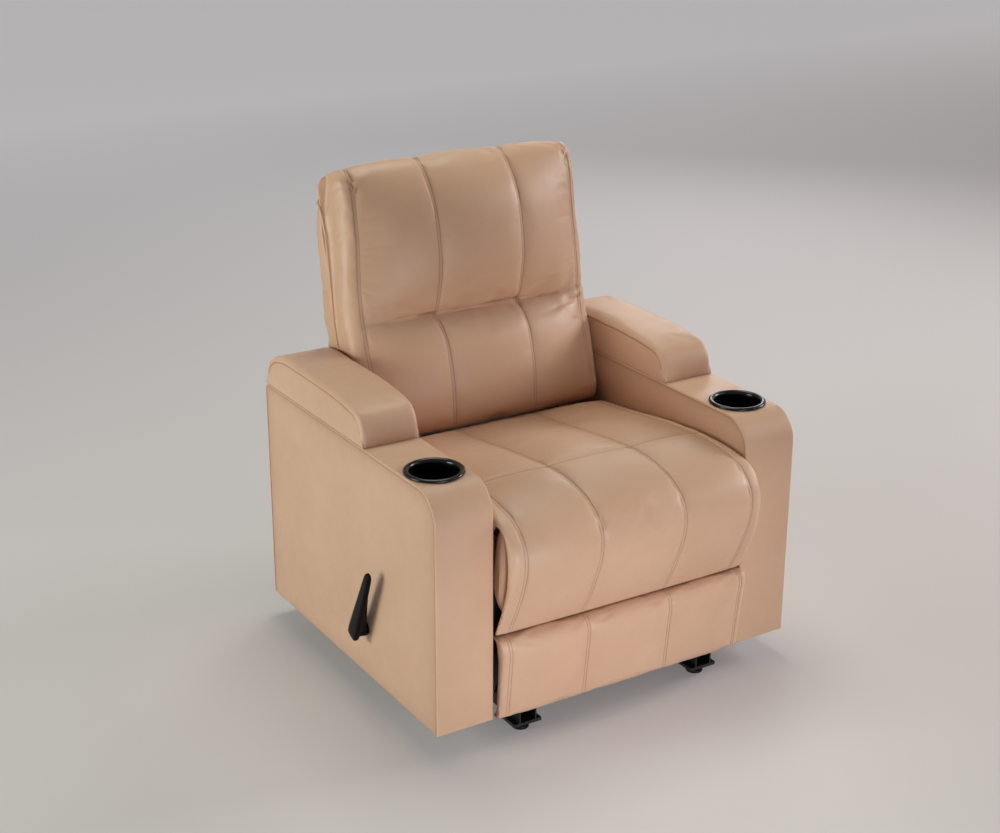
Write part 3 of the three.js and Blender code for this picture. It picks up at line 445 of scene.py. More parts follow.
@dataclass
class Thread:
    """Rows of stitches sewn along a seam, each stitch a short rounded length of thread."""

    pitch: float = 6.4
    length: float = 5.0
    radius: float = 0.42
    sides: int = 6

    def one_stitch(self) -> tuple[Array, list[list[int]]]:
        """Model one stitch of unit length and radius along x.

        Returns:
            Its points and its faces.
        """
        deselect()
        bpy.ops.mesh.primitive_cylinder_add(vertices=self.sides, radius=1, depth=0.7,
                                            rotation=(0, math.pi / 2, 0))
        piece = bpy.context.object
        bpy.ops.object.transform_apply()
        bpy.ops.object.mode_set(mode="EDIT")
        for way in (-1, 1):
            bpy.ops.mesh.select_all(action="DESELECT")
            bpy.ops.object.mode_set(mode="OBJECT")
            for face in piece.data.polygons:
                face.select = face.normal.x * way > 0.9
            bpy.ops.object.mode_set(mode="EDIT")
            bpy.ops.mesh.select_mode(type="FACE")
            bpy.ops.mesh.extrude_region_move(TRANSFORM_OT_translate={"value": (way * 0.15, 0, 0)})
            bpy.ops.transform.resize(value=(1, 0.45, 0.45))
        bpy.ops.object.mode_set(mode="OBJECT")
        points = mesh_points(piece)
        faces = [list(face.vertices) for face in piece.data.polygons]
        discard(piece)
        return points, faces

    def sew(self, name: str, rows: Sequence[tuple[Array, Array]]) -> Piece:
        """Sew several rows of stitches as one piece.

        Args:
            name: The piece's name.
            rows: For each row, its path and the surface's normals along it, in the row frame.

        Returns:
            The new object.
        """
        stitch, faces = self.one_stitch()
        scale = np.array([self.length, 2 * self.radius, 2 * self.radius]) * MM
        scale[1:] /= 2
        points, polygons = [], []
        for path, normals in rows:
            step = np.linalg.norm(np.diff(path, axis=0), axis=1)
            along = np.concatenate([[0], np.cumsum(step)])
            gap = self.pitch * MM
            places = np.arange(gap / 2, along[-1] - gap / 2, gap)
            half = self.length * MM / 2
            ends = [np.stack([np.interp(places + way * half, along, path[:, axis]) for axis in range(3)], 1)
                    for way in (-1, 1)]
            up = np.stack([np.interp(places, along, normals[:, axis]) for axis in range(3)], 1)
            ahead = ends[1] - ends[0]
            ahead /= np.linalg.norm(ahead, axis=1, keepdims=True)
            across = np.cross(up, ahead)
            across /= np.linalg.norm(across, axis=1, keepdims=True)
            up = np.cross(ahead, across)
            middle = (ends[0] + ends[1]) / 2 + up * self.radius * 0.0002
            for centre, x_way, y_way, z_way in zip(middle, ahead, across, up):
                turned = (stitch * scale) @ np.stack([x_way, y_way, z_way])
                start = len(points) * len(stitch)
                points.append(turned + centre)
                polygons.extend([[start + corner for corner in face] for face in faces])
        return mesh_piece(name, np.vstack(points), polygons)


@dataclass
class Quilting:
    """Sewn panels of a cover: two long seams, a seam inside each rolled side, and the fullness between."""

    seam: float = 100.0
    bolster: float = 30.0
    fullness: float = 3.0
    dip: float = 1.3
    dip_width: float = 9.0
    groove: float = 0.55
    groove_width: float = 1.3
    row_gap: float = 3.0
    near: tuple[float, ...] = (0, 1.5, 3.0, 4.6, 6.6, 9.5, 14)

    def columns(self, edge: float) -> Array:
        """Places across the face, close together at the seams.

        Args:
            edge: Half the width of the piece.

        Returns:
            The places from one side seam to the other.
        """
        last = edge - self.bolster
        near = np.array(self.near)
        both = np.concatenate([-near[:0:-1], near])
        middle = np.linspace(-self.seam + 14, self.seam - 14, 17)[1:-1]
        panel = np.linspace(self.seam + 14, last - 14, 14)[1:-1]
        half = np.concatenate([panel, last - near[::-1]])
        return np.concatenate([-half[::-1], -self.seam + both, middle, self.seam + both, half])

    def turns(self) -> Array:
        """Angles round the rolled side, from its seam to the edge."""
        first = np.arcsin(np.array([1.5, 3.0, 4.6, 6.6, 9.5]) / self.bolster)
        return np.concatenate([first, np.linspace(first[-1], math.pi / 2, 7)[1:]])

    def far(self, x: Array, edge: float) -> Array:
        """How far each place across is from the nearest seam.

        Args:
            x: Places across the piece.
            edge: Half its width.

        Returns:
            The distances.
        """
        place = np.abs(x)
        return np.minimum(np.abs(place - self.seam), np.abs(place - edge + self.bolster))

    def rise(self, x: Array, edge: float) -> Array:
        """How far the filled cover stands above the plain form.

        Args:
            x: Places across the piece.
            edge: Half its width.

        Returns:
            The rise in millimetres.
        """
        place = np.abs(x)
        last = edge - self.bolster
        middle = np.where(place < self.seam, 0, (self.seam + last) / 2)
        reach = np.where(place < self.seam, self.seam, (last - self.seam) / 2)
        share = np.clip((place - middle) / reach, -1, 1)
        return self.fullness * (1 - share ** 2) ** 0.8 - self.dip * ridge(self.far(x, edge), self.dip_width)

    def hollow(self, x: Array, edge: float) -> Array:
        """How deep the two rows of stitches of each seam draw the cover in, as a share.

        Args:
            x: Places across the piece.
            edge: Half its width.

        Returns:
            The share at each place, 1 under a row of stitches.
        """
        return ridge(self.far(x, edge) - self.row_gap, self.groove_width)


@dataclass
class QuiltedForm:
    """A quilted piece laid over four profiles: its middle, its side seam, its edge and its hidden back."""

    name: str
    middle: Array
    shoulder: Array
    side: Array
    behind: Array
    edge: Array
    quilting: Quilting = field(default_factory=Quilting)
    face_power: float = 5.0
    tail_inset: float | Array = 9.0
    tail_steps: int = 6
    end_round: float = 6.0
    end_rows: int = 5

    def __post_init__(self) -> None:
        """Give every row its own inset of the hidden side."""
        self.tail_inset = np.broadcast_to(np.asarray(self.tail_inset, float), self.edge.shape)

    @property
    def skip(self) -> int:
        """How many columns of the rolled side stand outside the face on each side."""
        return len(self.quilting.turns()) + self.tail_steps

    def nominal(self) -> Array:
        """Every outer column's place across a piece of the widest edge."""
        widest = float(self.edge.max())
        roll = widest - self.quilting.bolster * (1 - np.sin(self.quilting.turns()))
        half = np.concatenate([roll, widest + 40 + np.arange(self.tail_steps)])
        return np.concatenate([-half[::-1], self.quilting.columns(widest), half])

    def across(self, row: int) -> Array:
        """The face columns' places in one row, fitted to that row's width.

        Args:
            row: The row's number.

        Returns:
            The places of the face columns.
        """
        widest, last = float(self.edge.max()), self.edge[row] - self.quilting.bolster
        seam, bolster = self.quilting.seam, self.quilting.bolster
        given = [-(widest - bolster), -seam, seam, widest - bolster]
        return np.interp(self.quilting.columns(widest), given, [-last, -seam, seam, last])

    def row_points(self, row: int) -> Array:
        """The outer points of one row, from one hidden edge to the other.

        Args:
            row: The row's number.

        Returns:
            The points as x, y, z in the chair's frame.
        """
        middle, shoulder, side, behind = (line[row] for line in (self.middle, self.shoulder, self.side,
                                                                 self.behind))
        edge, quilting = self.edge[row], self.quilting
        x = self.across(row)
        share = (np.abs(x) / (edge - quilting.bolster)) ** self.face_power
        face = middle + share[:, None] * (shoulder - middle)
        turn = quilting.turns()
        first_x = edge - quilting.bolster * (1 - np.sin(turn))
        first = shoulder + (1 - np.cos(turn))[:, None] * (side - shoulder)
        turn = np.linspace(0, math.pi / 2, self.tail_steps + 1)[1:]
        second_x = edge - self.tail_inset[row] * (1 - np.cos(turn))
        second = side + np.sin(turn)[:, None] * (behind - side)
        half_x = np.concatenate([first_x, second_x])
        half = np.vstack([first, second])
        places = np.concatenate([-half_x[::-1], x, half_x])
        return np.column_stack([places, np.vstack([half[::-1], face, half])])

    def grids(self) -> tuple[Array, Array]:
        """The outer and inner grids in the chair's frame, filled between the seams and closed at the ends.

        Returns:
            Both grids, rows by columns.
        """
        rows = len(self.middle)
        outer = np.stack([self.row_points(row) for row in range(rows)])
        columns = outer.shape[1]
        even = np.linspace(-1, 1, columns)
        inner = outer.copy()
        for row in range(rows):
            inner[row, :, 0] = even * (self.edge[row] - self.tail_inset[row])
            inner[row, :, 1:] = self.behind[row]
        away = outer[:, :, 1:] - self.behind[:, None, :]
        away /= np.maximum(np.linalg.norm(away, axis=2, keepdims=True), 1e-6)
        tail = self.tail_steps
        for row in range(rows):
            x = outer[row, tail:-tail, 0]
            ends = min(1.0, 5.0 * min(row, rows - 1 - row) / rows)
            rise = self.quilting.rise(x, self.edge[row]) * ends
            rise[np.abs(x) > self.edge[row] - 1] = 0
            outer[row, tail:-tail, 1:] += away[row, tail:-tail] * rise[:, None]
        inner[:, 0], inner[:, -1] = outer[:, 0], outer[:, -1]
        return self.closed_ends(outer, inner)

    def closed_ends(self, outer: Array, inner: Array) -> tuple[Array, Array]:
        """Add rounded rows that bring the two grids together at both ends.

        Args:
            outer: The outer grid.
            inner: The inner grid.

        Returns:
            Both grids with their ends closed.
        """
        turns = np.linspace(0, math.pi / 2, self.end_rows + 1)[1:]
        for last in (False, True):
            if last:
                outer, inner = outer[::-1], inner[::-1]
            middle = (outer[0] + inner[0]) / 2
            ahead = (outer[0] - outer[1]) + (inner[0] - inner[1])
            ahead[:, 0] = 0
            ahead /= np.maximum(np.linalg.norm(ahead, axis=1, keepdims=True), 1e-6)
            extra = [(middle + (grid[0] - middle) * np.cos(turn) + ahead * self.end_round * np.sin(turn))
                     for turn in turns for grid in (outer, inner)]
            outer = np.concatenate([np.stack(extra[0::2])[::-1], outer])
            inner = np.concatenate([np.stack(extra[1::2])[::-1], inner])
            if last:
                outer, inner = outer[::-1], inner[::-1]
        return outer, inner

    def fade(self, rows: int) -> Array:
        """How far each row is from the ends, from 0 to 1, as a column.

        Args:
            rows: How many rows the outer grid has.

        Returns:
            One share for each row.
        """
        ease = smooth_step(np.arange(rows), 1, self.end_rows + 3)
        return (ease * ease[::-1])[:, None]

    def held(self, outer: Array, extra: Optional[Array] = None) -> Array:
        """Where the cover is sewn or hidden, for the padding.

        Args:
            outer: The outer grid.
            extra: Further held shares of the outer grid.

        Returns:
            The held share of every point.
        """
        rows, columns = outer.shape[:2]
        held = np.zeros((rows, columns))
        held[:, self.quilting.far(self.nominal(), float(self.edge.max())) < 3.2] = 1
        held[:, :self.tail_steps] = held[:, -self.tail_steps:] = 1
        held[:self.end_rows + 1] = held[-self.end_rows - 1:] = 1
        if extra is not None:
            held = np.maximum(held, extra)
        return np.concatenate([held.ravel(), np.ones((rows - 2) * (columns - 2))])

    def seam_row(self, outer: Array, x: float, trim: int) -> tuple[Array, Array]:
        """The line at a nominal place across the finished surface, with its normals.

        Args:
            outer: The finished outer grid in the row frame.
            x: The nominal place across, in millimetres.
            trim: How many rows to leave out at each end.

        Returns:
            The line and its normals.
        """
        nominal = self.nominal()
        place = np.interp(x, nominal, np.arange(len(nominal)))
        low = int(np.clip(math.floor(place), 0, len(nominal) - 2))
        share = place - low
        path = outer[:, low] * (1 - share) + outer[:, low + 1] * share
        side = outer[:, min(low + 3, len(nominal) - 1)] - outer[:, max(low - 2, 0)]
        normal = np.cross(side, np.gradient(path, axis=0))
        normal /= np.maximum(np.linalg.norm(normal, axis=1, keepdims=True), 1e-9)
        flip = np.sign(((path - outer.reshape(-1, 3).mean(0)) * normal).sum()) or 1.0
        return path[trim:-trim], normal[trim:-trim] * flip

    def build(self, padding: Padding, extra_held: Optional[Array] = None,
              shape: Optional["Shaping"] = None) -> tuple[Piece, Array]:
        """Build, fill and groove the piece, and store the painted shade of its seams and folds.

        Args:
            padding: How it is filled.
            extra_held: Further held shares of the outer grid.
            shape: Further shaping of the finished surface.

        Returns:
            The piece and its finished outer grid in the row frame.
        """
        outer, inner = self.grids()
        if shape is not None:
            inner = shape.inside(inner)
        piece = Skin(placed(outer), placed(inner)).build(self.name)
        padding.fill(piece, self.held(outer, extra_held))
        rows, columns = outer.shape[:2]
        count = rows * columns
        sewn = self.quilting.hollow(self.nominal(), float(self.edge.max()))[None, :] * self.fade(rows)
        shift, folds = -self.quilting.groove * sewn, np.zeros((rows, columns))
        if shape is not None:
            added, folds = shape.shift(outer)
            shift = shift + added
        points, normals = mesh_points(piece), mesh_normals(piece)
        points[:count] += normals[:count] * shift.ravel()[:, None] * MM
        set_mesh_points(piece, points)
        values = np.zeros(len(points))
        # painted shade: the stitch rows' hollows and the shaping's folds are stored as seam_shade for the
        # leather to darken
        values[:count] = np.maximum(sewn ** 2 * 0.55, folds).ravel()
        set_shade(piece, "seam_shade", values)
        shade(piece, 60)
        return piece, points[:count].reshape(rows, columns, 3)

    def stitching(self, thread: Thread, grid: Array, trim: int) -> Piece:
        """Sew both rows of stitches of every long seam.

        Args:
            thread: The thread used.
            grid: The finished outer grid.
            trim: How many rows stay bare at each end.

        Returns:
            The piece of stitches.
        """
        last = float(self.edge.max()) - self.quilting.bolster
        rows = [self.seam_row(grid, place + way * self.quilting.row_gap, trim)
                for place in (-last, -self.quilting.seam, self.quilting.seam, last) for way in (-1, 1)]
        return thread.sew(self.name + "_stitching", rows)


class Shaping:
    """Shaping of a finished surface beyond its seams."""

    def inside(self, inner: Array) -> Array:
        """Fit the hidden inner grid to what it rests on.

        Args:
            inner: The inner grid in the chair's frame.

        Returns:
            The fitted grid.
        """
        return inner

    def shift(self, outer: Array) -> tuple[Array, Array]:
        """How far each outer point moves outwards, and how much painted shade its fold gets.

        Args:
            outer: The outer grid in the chair's frame.

        Returns:
            The shift in millimetres and the fold's painted shade, as rows by columns.
        """
        rows, columns = outer.shape[:2]
        return np.zeros((rows, columns)), np.zeros((rows, columns))


def new_group(name: str, inputs: dict[str, tuple[str, float]],
              outputs: dict[str, str]) -> bpy.types.NodeTree:
    """Start a shader node group with named sockets.

    Args:
        name: The group's name.
        inputs: For each input, its socket type and default.
        outputs: For each output, its socket type.

    Returns:
        The empty group.
    """
    group = bpy.data.node_groups.new(name, "ShaderNodeTree")
    for label, (kind, default) in inputs.items():
        socket = group.interface.new_socket(name=label, in_out="INPUT", socket_type=kind)
        if kind == "NodeSocketFloat":
            socket.default_value = default
    for label, kind in outputs.items():
        group.interface.new_socket(name=label, in_out="OUTPUT", socket_type=kind)
    return group


class Nodes:
    """A short way to add and join shader nodes in one tree."""

    def __init__(self, tree: bpy.types.NodeTree) -> None:
        """Take up a tree.

        Args:
            tree: The node tree to add to.
        """
        self.tree = tree
        self.count = 0

    def add(self, kind: str, **values: object) -> bpy.types.Node:
        """Add a node.

        Args:
            kind: The node's type without its Shader prefix.
            values: Its properties and inputs, as fit() takes them.

        Returns:
            The new node.
        """
        node = self.tree.nodes.new(kind if kind.startswith("Node") else "ShaderNode" + kind)
        node.location = (180 * (self.count % 8), -260 * (self.count // 8))
        self.count += 1
        return self.fit(node, **values)

    def fit(self, node: bpy.types.Node, **values: object) -> bpy.types.Node:
        """Set a node's properties and inputs.

        Args:
            node: The node.
            values: Properties by name, or inputs by their label with underscores for spaces, or by
                their number after the word at.

        Returns:
            The same node.
        """
        for key, value in values.items():
            label = key.replace("_", " ")
            if label in node.inputs:
                self.put(node.inputs[label], value)
            elif key.startswith("at") and key[2:].isdigit():
                self.put(node.inputs[int(key[2:])], value)
            else:
                setattr(node, key, value)
        return node

    def put(self, socket: Socket, value: object) -> None:
        """Link an output to a socket, or set the socket's own value.

        Args:
            socket: The input socket.
            value: An output socket, or a plain value.
        """
        if isinstance(value, Socket):
            self.tree.links.new(value, socket)
        else:
            socket.default_value = value

    def mix(self, share: object, first: object, second: object) -> Socket:
        """Mix two colours.

        Args:
            share: The share of the second colour.
            first: The first colour.
            second: The second colour.

        Returns:
            The mixed colour's socket.
        """
        return self.add("Mix", data_type="RGBA", at0=share, at6=first, at7=second).outputs[2]

    def math(self, operation: str, first: object, second: object = 0.0) -> Socket:
        """Work out a value from two others.

        Args:
            operation: The operation's name.
            first: The first value.
            second: The second value.

        Returns:
            The result's socket.
        """
        return self.add("Math", operation=operation, at0=first, at1=second).outputs[0]

    def span(self, value: object, low: float, high: float, to_low: float = 0.0,
             to_high: float = 1.0) -> Socket:
        """Stretch a value from one range to another.

        Args:
            value: The value's socket.
            low: The start of the range it comes in.
            high: The end of that range.
            to_low: What low becomes.
            to_high: What high becomes.

        Returns:
            The stretched value's socket.
        """
        return self.add("MapRange", at0=value, at1=low, at2=high, at3=to_low, at4=to_high).outputs[0]

    def seen(self) -> Socket:
        """Find out what is seen: by the camera, in a reflection or through glass.

        Returns:
            A socket that is 1 there and 0 where the surface only lights others.
        """
        path = self.add("LightPath")
        straight = self.math("MAXIMUM", path.outputs["Is Camera Ray"], path.outputs["Is Glossy Ray"])
        return self.math("MAXIMUM", straight, path.outputs["Is Transmission Ray"])


def rgb(red: float, green: float, blue: float) -> tuple[float, float, float, float]:
    """A colour given as it looks, from 0 to 255, in the linear values that shaders take.

    Args:
        red: The red part.
        green: The green part.
        blue: The blue part.

    Returns:
        The linear colour with full alpha.
    """
    def linear(part: float) -> float:
        """One part of the colour, made linear."""
        share = part / 255
        return share / 12.92 if share <= 0.04045 else ((share + 0.055) / 1.055) ** 2.4
    return linear(red), linear(green), linear(blue), 1.0


def grain_group() -> bpy.types.NodeTree:
    """The hide's grain: rounded pebbles with finer creases between.

    Returns:
        The group, whose outputs are Height and Hollow.
    """
    found = bpy.data.node_groups.get("hide_grain")
    if found is not None:
        return found
    group = new_group("hide_grain", {"Vector": ("NodeSocketVector", 0), "Scale": ("NodeSocketFloat", 900)},
                      {"Height": "NodeSocketFloat", "Hollow": "NodeSocketFloat"})
    nodes = Nodes(group)
    given = nodes.add("NodeGroupInput")
    warp = nodes.add("TexNoise", Vector=given.outputs["Vector"], Scale=160.0, Detail=2.0)
    pull = nodes.add("VectorMath", operation="SCALE", at0=warp.outputs["Color"], Scale=0.0016)
    place = nodes.add("VectorMath", operation="ADD", at0=given.outputs["Vector"], at1=pull.outputs[0])
    pebbles = nodes.add("TexVoronoi", feature="DISTANCE_TO_EDGE", Vector=place.outputs[0],
                        Scale=given.outputs["Scale"])
    crown = nodes.span(pebbles.outputs["Distance"], 0.0, 0.28)
    fine = nodes.add("TexNoise", Vector=place.outputs[0], Scale=1800.0, Detail=3.0)
    height = nodes.math("ADD", nodes.math("MULTIPLY", crown, 0.7),
                        nodes.math("MULTIPLY", fine.outputs["Fac"], 0.3))
    hollow = nodes.math("SUBTRACT", 1.0, crown)
    nodes.add("NodeGroupOutput", Height=height, Hollow=hollow)
    return group


def patch_group() -> bpy.types.NodeTree:
    """Slow, soft variation over a surface, from handling and dye.

    Returns:
        The group, whose outputs are Broad and Streak.
    """
    found = bpy.data.node_groups.get("soft_patches")
    if found is not None:
        return found
    group = new_group("soft_patches", {"Vector": ("NodeSocketVector", 0), "Scale": ("NodeSocketFloat", 6)},
                      {"Broad": "NodeSocketFloat", "Streak": "NodeSocketFloat"})
    nodes = Nodes(group)
    given = nodes.add("NodeGroupInput")
    broad = nodes.add("TexNoise", Vector=given.outputs["Vector"], Scale=given.outputs["Scale"], Detail=4.0,
                      Roughness=0.55)
    double = nodes.math("MULTIPLY", given.outputs["Scale"], 7.0)
    streak = nodes.add("TexNoise", Vector=given.outputs["Vector"], Scale=double, Detail=5.0, Roughness=0.65)
    nodes.add("NodeGroupOutput", Broad=nodes.span(broad.outputs["Fac"], 0.3, 0.7),
              Streak=nodes.span(streak.outputs["Fac"], 0.35, 0.65))
    return group


def start_material(name: str) -> tuple[Material, Nodes, bpy.types.Node, Socket]:
    """Start a material with a Principled shader and object coordinates.

    Args:
        name: The material's name.

    Returns:
        The material, its nodes, its Principled shader and the coordinates' socket.
    """
    material = bpy.data.materials.new(name)
    material.use_nodes = True
    material.node_tree.nodes.clear()
    nodes = Nodes(material.node_tree)
    place = nodes.add("TexCoord")
    shader = nodes.add("BsdfPrincipled")
    nodes.add("OutputMaterial", Surface=shader.outputs["BSDF"])
    return material, nodes, shader, place.outputs["Object"]


@dataclass(frozen=True)
class Hide:
    """Tan upholstery leather: a fine grain, a satin surface, and painted shade in the folds at its seams."""

    name: str = "tan_leather"
    light: Colour = (219, 176, 146)
    mid: Colour = (212, 167, 137)
    # fold is the dark tone of the dye streaks and grain pores, and also the colour of the painted shade at
    # seams and folds
    fold: Colour = (146, 96, 68)
    grain: float = 950.0
    grain_depth: float = 0.0001
    roughness: float = 0.43
    sheen: float = 0.3

    def material(self) -> Material:
        """Build the leather's material."""
        material, nodes, shader, place = start_material(self.name)
        grain = nodes.add("Group", node_tree=grain_group(), Vector=place, Scale=self.grain)
        patches = nodes.add("Group", node_tree=patch_group(), Vector=place, Scale=5.0)
        seam = nodes.add("Attribute", attribute_name="seam_shade")
        base = nodes.mix(patches.outputs["Broad"], rgb(*self.mid), rgb(*self.light))
        dye = nodes.mix(nodes.math("MULTIPLY", patches.outputs["Streak"], 0.035), base, rgb(*self.fold))
        pores = nodes.mix(nodes.math("MULTIPLY", grain.outputs["Hollow"], 0.1), dye, rgb(*self.fold))
        # painted shade: the seam_shade attribute darkens seams, creases and folds towards the fold colour
        sewn = nodes.mix(nodes.math("MULTIPLY", seam.outputs["Fac"], 0.75), pores, rgb(*self.fold))
        rough = nodes.span(patches.outputs["Streak"], 0, 1, self.roughness - 0.05, self.roughness + 0.07)
        bump = nodes.add("Bump", Strength=0.35, Distance=self.grain_depth, Height=grain.outputs["Height"])
        nodes.fit(shader, Base_Color=sewn, Roughness=rough, Normal=bump.outputs["Normal"],
                  Specular_IOR_Level=0.42, Sheen_Weight=self.sheen, Sheen_Roughness=0.45,
                  Sheen_Tint=rgb(255, 236, 220))
        return material


@dataclass(frozen=True)
class Yarn:
    """Twisted sewing thread."""

    name: str = "sewing_thread"
    colour: Colour = (176, 134, 106)

    def material(self) -> Material:
        """Build the thread's material."""
        material, nodes, shader, place = start_material(self.name)
        twist = nodes.add("TexWave", Vector=place, Scale=900.0, Distortion=2.0, Detail=1.0)
        dark = tuple(part * 0.72 for part in self.colour)
        share = nodes.math("MULTIPLY", twist.outputs["Fac"], 0.6)
        twisted = nodes.mix(share, rgb(*self.colour), rgb(*dark))
        bump = nodes.add("Bump", Strength=0.5, Distance=0.0002, Height=twist.outputs["Fac"])
        nodes.fit(shader, Base_Color=twisted, Normal=bump.outputs["Normal"], Roughness=0.6, Sheen_Weight=0.3)
        return material


@dataclass(frozen=True)
class Moulding:
    """A black plastic moulding, glossy or matt, with faint flow marks and light scuffs."""

    name: str
    colour: Colour
    roughness: float
    ripple: float
    coat: float = 0.0
    gloss: float = 0.3

    def material(self) -> Material:
        """Build the moulding's material."""
        material, nodes, shader, place = start_material(self.name)
        patches = nodes.add("Group", node_tree=patch_group(), Vector=place, Scale=24.0)
        pale = tuple(part * 1.35 + 4 for part in self.colour)
        share = nodes.math("MULTIPLY", patches.outputs["Streak"], 0.35)
        scuffed = nodes.mix(share, rgb(*self.colour), rgb(*pale))
        rough = nodes.span(patches.outputs["Streak"], 0, 1, self.roughness * 0.8, self.roughness * 1.35)
        fine = nodes.add("TexNoise", Vector=place, Scale=220.0, Detail=2.0)
        bump = nodes.add("Bump", Strength=0.25, Distance=self.ripple, Height=fine.outputs["Fac"])
        nodes.fit(shader, Base_Color=scuffed, Roughness=rough, Normal=bump.outputs["Normal"],
                  Specular_IOR_Level=self.gloss, Coat_Weight=self.coat, Coat_Roughness=0.05)
        return material


@dataclass(frozen=True)
class Metal:
    """Steel, bare or coated: its colour, sheen and the marks of its finish."""

    name: str
    colour: Colour
    worn: Colour
    metallic: float
    roughness: float
    speckle: float

    def material(self) -> Material:
        """Build the metal's material."""
        material, nodes, shader, place = start_material(self.name)
        patches = nodes.add("Group", node_tree=patch_group(), Vector=place, Scale=14.0)
        orange_peel = nodes.add("TexNoise", Vector=place, Scale=self.speckle, Detail=2.0)
        share = nodes.math("MULTIPLY", patches.outputs["Streak"], 0.4)
        handled = nodes.mix(share, rgb(*self.colour), rgb(*self.worn))
        rough = nodes.span(patches.outputs["Broad"], 0, 1, self.roughness - 0.06, self.roughness + 0.1)
        bump = nodes.add("Bump", Strength=0.35, Distance=0.0003, Height=orange_peel.outputs["Fac"])
        nodes.fit(shader, Base_Color=handled, Roughness=rough, Normal=bump.outputs["Normal"],
                  Metallic=self.metallic)
        return material


@dataclass(frozen=True)
class Timber:
    """Planed timber or plywood, with grain along one axis."""

    name: str
    pale: Colour
    dark: Colour
    rings: float = 40.0
    stretch: tuple[float, float, float] = (1.0, 0.12, 1.0)

    def material(self) -> Material:
        """Build the timber's material."""
        material, nodes, shader, place = start_material(self.name)
        mapping = nodes.add("Mapping", Vector=place, Scale=self.stretch)
        figure = nodes.add("TexNoise", Vector=mapping.outputs[0], Scale=self.rings, Detail=6.0,
                           Roughness=0.62, Distortion=0.6)
        pores = nodes.add("TexNoise", Vector=mapping.outputs[0], Scale=self.rings * 9, Detail=2.0)
        share = nodes.span(figure.outputs["Fac"], 0.34, 0.68)
        base = nodes.mix(share, rgb(*self.pale), rgb(*self.dark))
        fleck = nodes.span(pores.outputs["Fac"], 0.55, 0.7, 0, 0.4)
        flecked = nodes.mix(fleck, base, rgb(*self.dark))
        bump = nodes.add("Bump", Strength=0.3, Distance=0.0004, Height=pores.outputs["Fac"])
        nodes.fit(shader, Base_Color=flecked, Normal=bump.outputs["Normal"], Roughness=0.72)
        return material


@dataclass(frozen=True)
class Lining:
    """Black woven lining cloth."""

    name: str = "lining_cloth"
    warp: Colour = (40, 38, 38)
    weft: Colour = (22, 21, 22)
    threads: float = 4200.0

    def material(self) -> Material:
        """Build the cloth's material."""
        material, nodes, shader, place = start_material(self.name)
        parts = nodes.add("SeparateXYZ", Vector=place)
        waves = [nodes.math("SINE", nodes.math("MULTIPLY", parts.outputs[axis], self.threads))
                 for axis in ("X", "Z")]
        weave = nodes.math("MULTIPLY", *waves)
        woven = nodes.mix(nodes.span(weave, -1, 1), rgb(*self.warp), rgb(*self.weft))
        bump = nodes.add("Bump", Strength=0.5, Distance=0.0003, Height=weave)
        nodes.fit(shader, Base_Color=woven, Normal=bump.outputs["Normal"], Roughness=0.9, Sheen_Weight=0.2)
        return material


@dataclass
class Finishes:
    """Every finish of the chair, built once."""

    leather: Material = field(default_factory=lambda: Hide().material())
    thread: Material = field(default_factory=lambda: Yarn().material())
    gloss: Material = field(default_factory=lambda: Moulding(
        "gloss_black_moulding", (8, 8, 9), 0.2, 0.00004, 0.1).material())
    grip: Material = field(default_factory=lambda: Moulding(
        "satin_black_moulding", (7, 7, 8), 0.3, 0.0001, gloss=0.08).material())
    plastic: Material = field(default_factory=lambda: Moulding(
        "matt_black_moulding", (12, 12, 13), 0.42, 0.0002, gloss=0.14).material())
    steel: Material = field(default_factory=lambda: Metal(
        "black_powder_coat", (18, 18, 19), (34, 34, 36), 0.1, 0.42, 900.0).material())
    zinc: Material = field(default_factory=lambda: Metal(
        "zinc_plated_steel", (168, 171, 172), (132, 130, 122), 0.95, 0.3, 320.0).material())
    hardwood: Material = field(default_factory=lambda: Timber(
        "planed_hardwood", (196, 156, 108), (150, 108, 66)).material())
    stained: Material = field(default_factory=lambda: Timber(
        "black_stained_hardwood", (30, 27, 25), (18, 16, 15)).material())
    plywood: Material = field(default_factory=lambda: Timber(
        "sanded_plywood", (214, 184, 138), (178, 142, 96), 22.0, (1.0, 0.1, 1.0)).material())
    lining: Material = field(default_factory=lambda: Lining().material())


@dataclass
class Assembly:
    """A group of pieces that takes its finishes from the chair's."""

    finishes: Finishes


@dataclass
class Padded(Assembly):
    """A group with padded pieces, all filled in one way."""

    padding: Padding


@dataclass
class Sewn(Padded):
    """A padded group with stitching."""

    thread: Thread

    def sew(self, form: QuiltedForm, grid: Array, body: str, trim: int = 6) -> None:
        """Sew the long seams of a finished quilted form.

        Args:
            form: The form.
            grid: Its finished outer grid.
            body: The body that carries it.
            trim: How many rows stay bare at each end.
        """
        finish_piece(form.stitching(self.thread, grid, trim), body, self.finishes.thread)


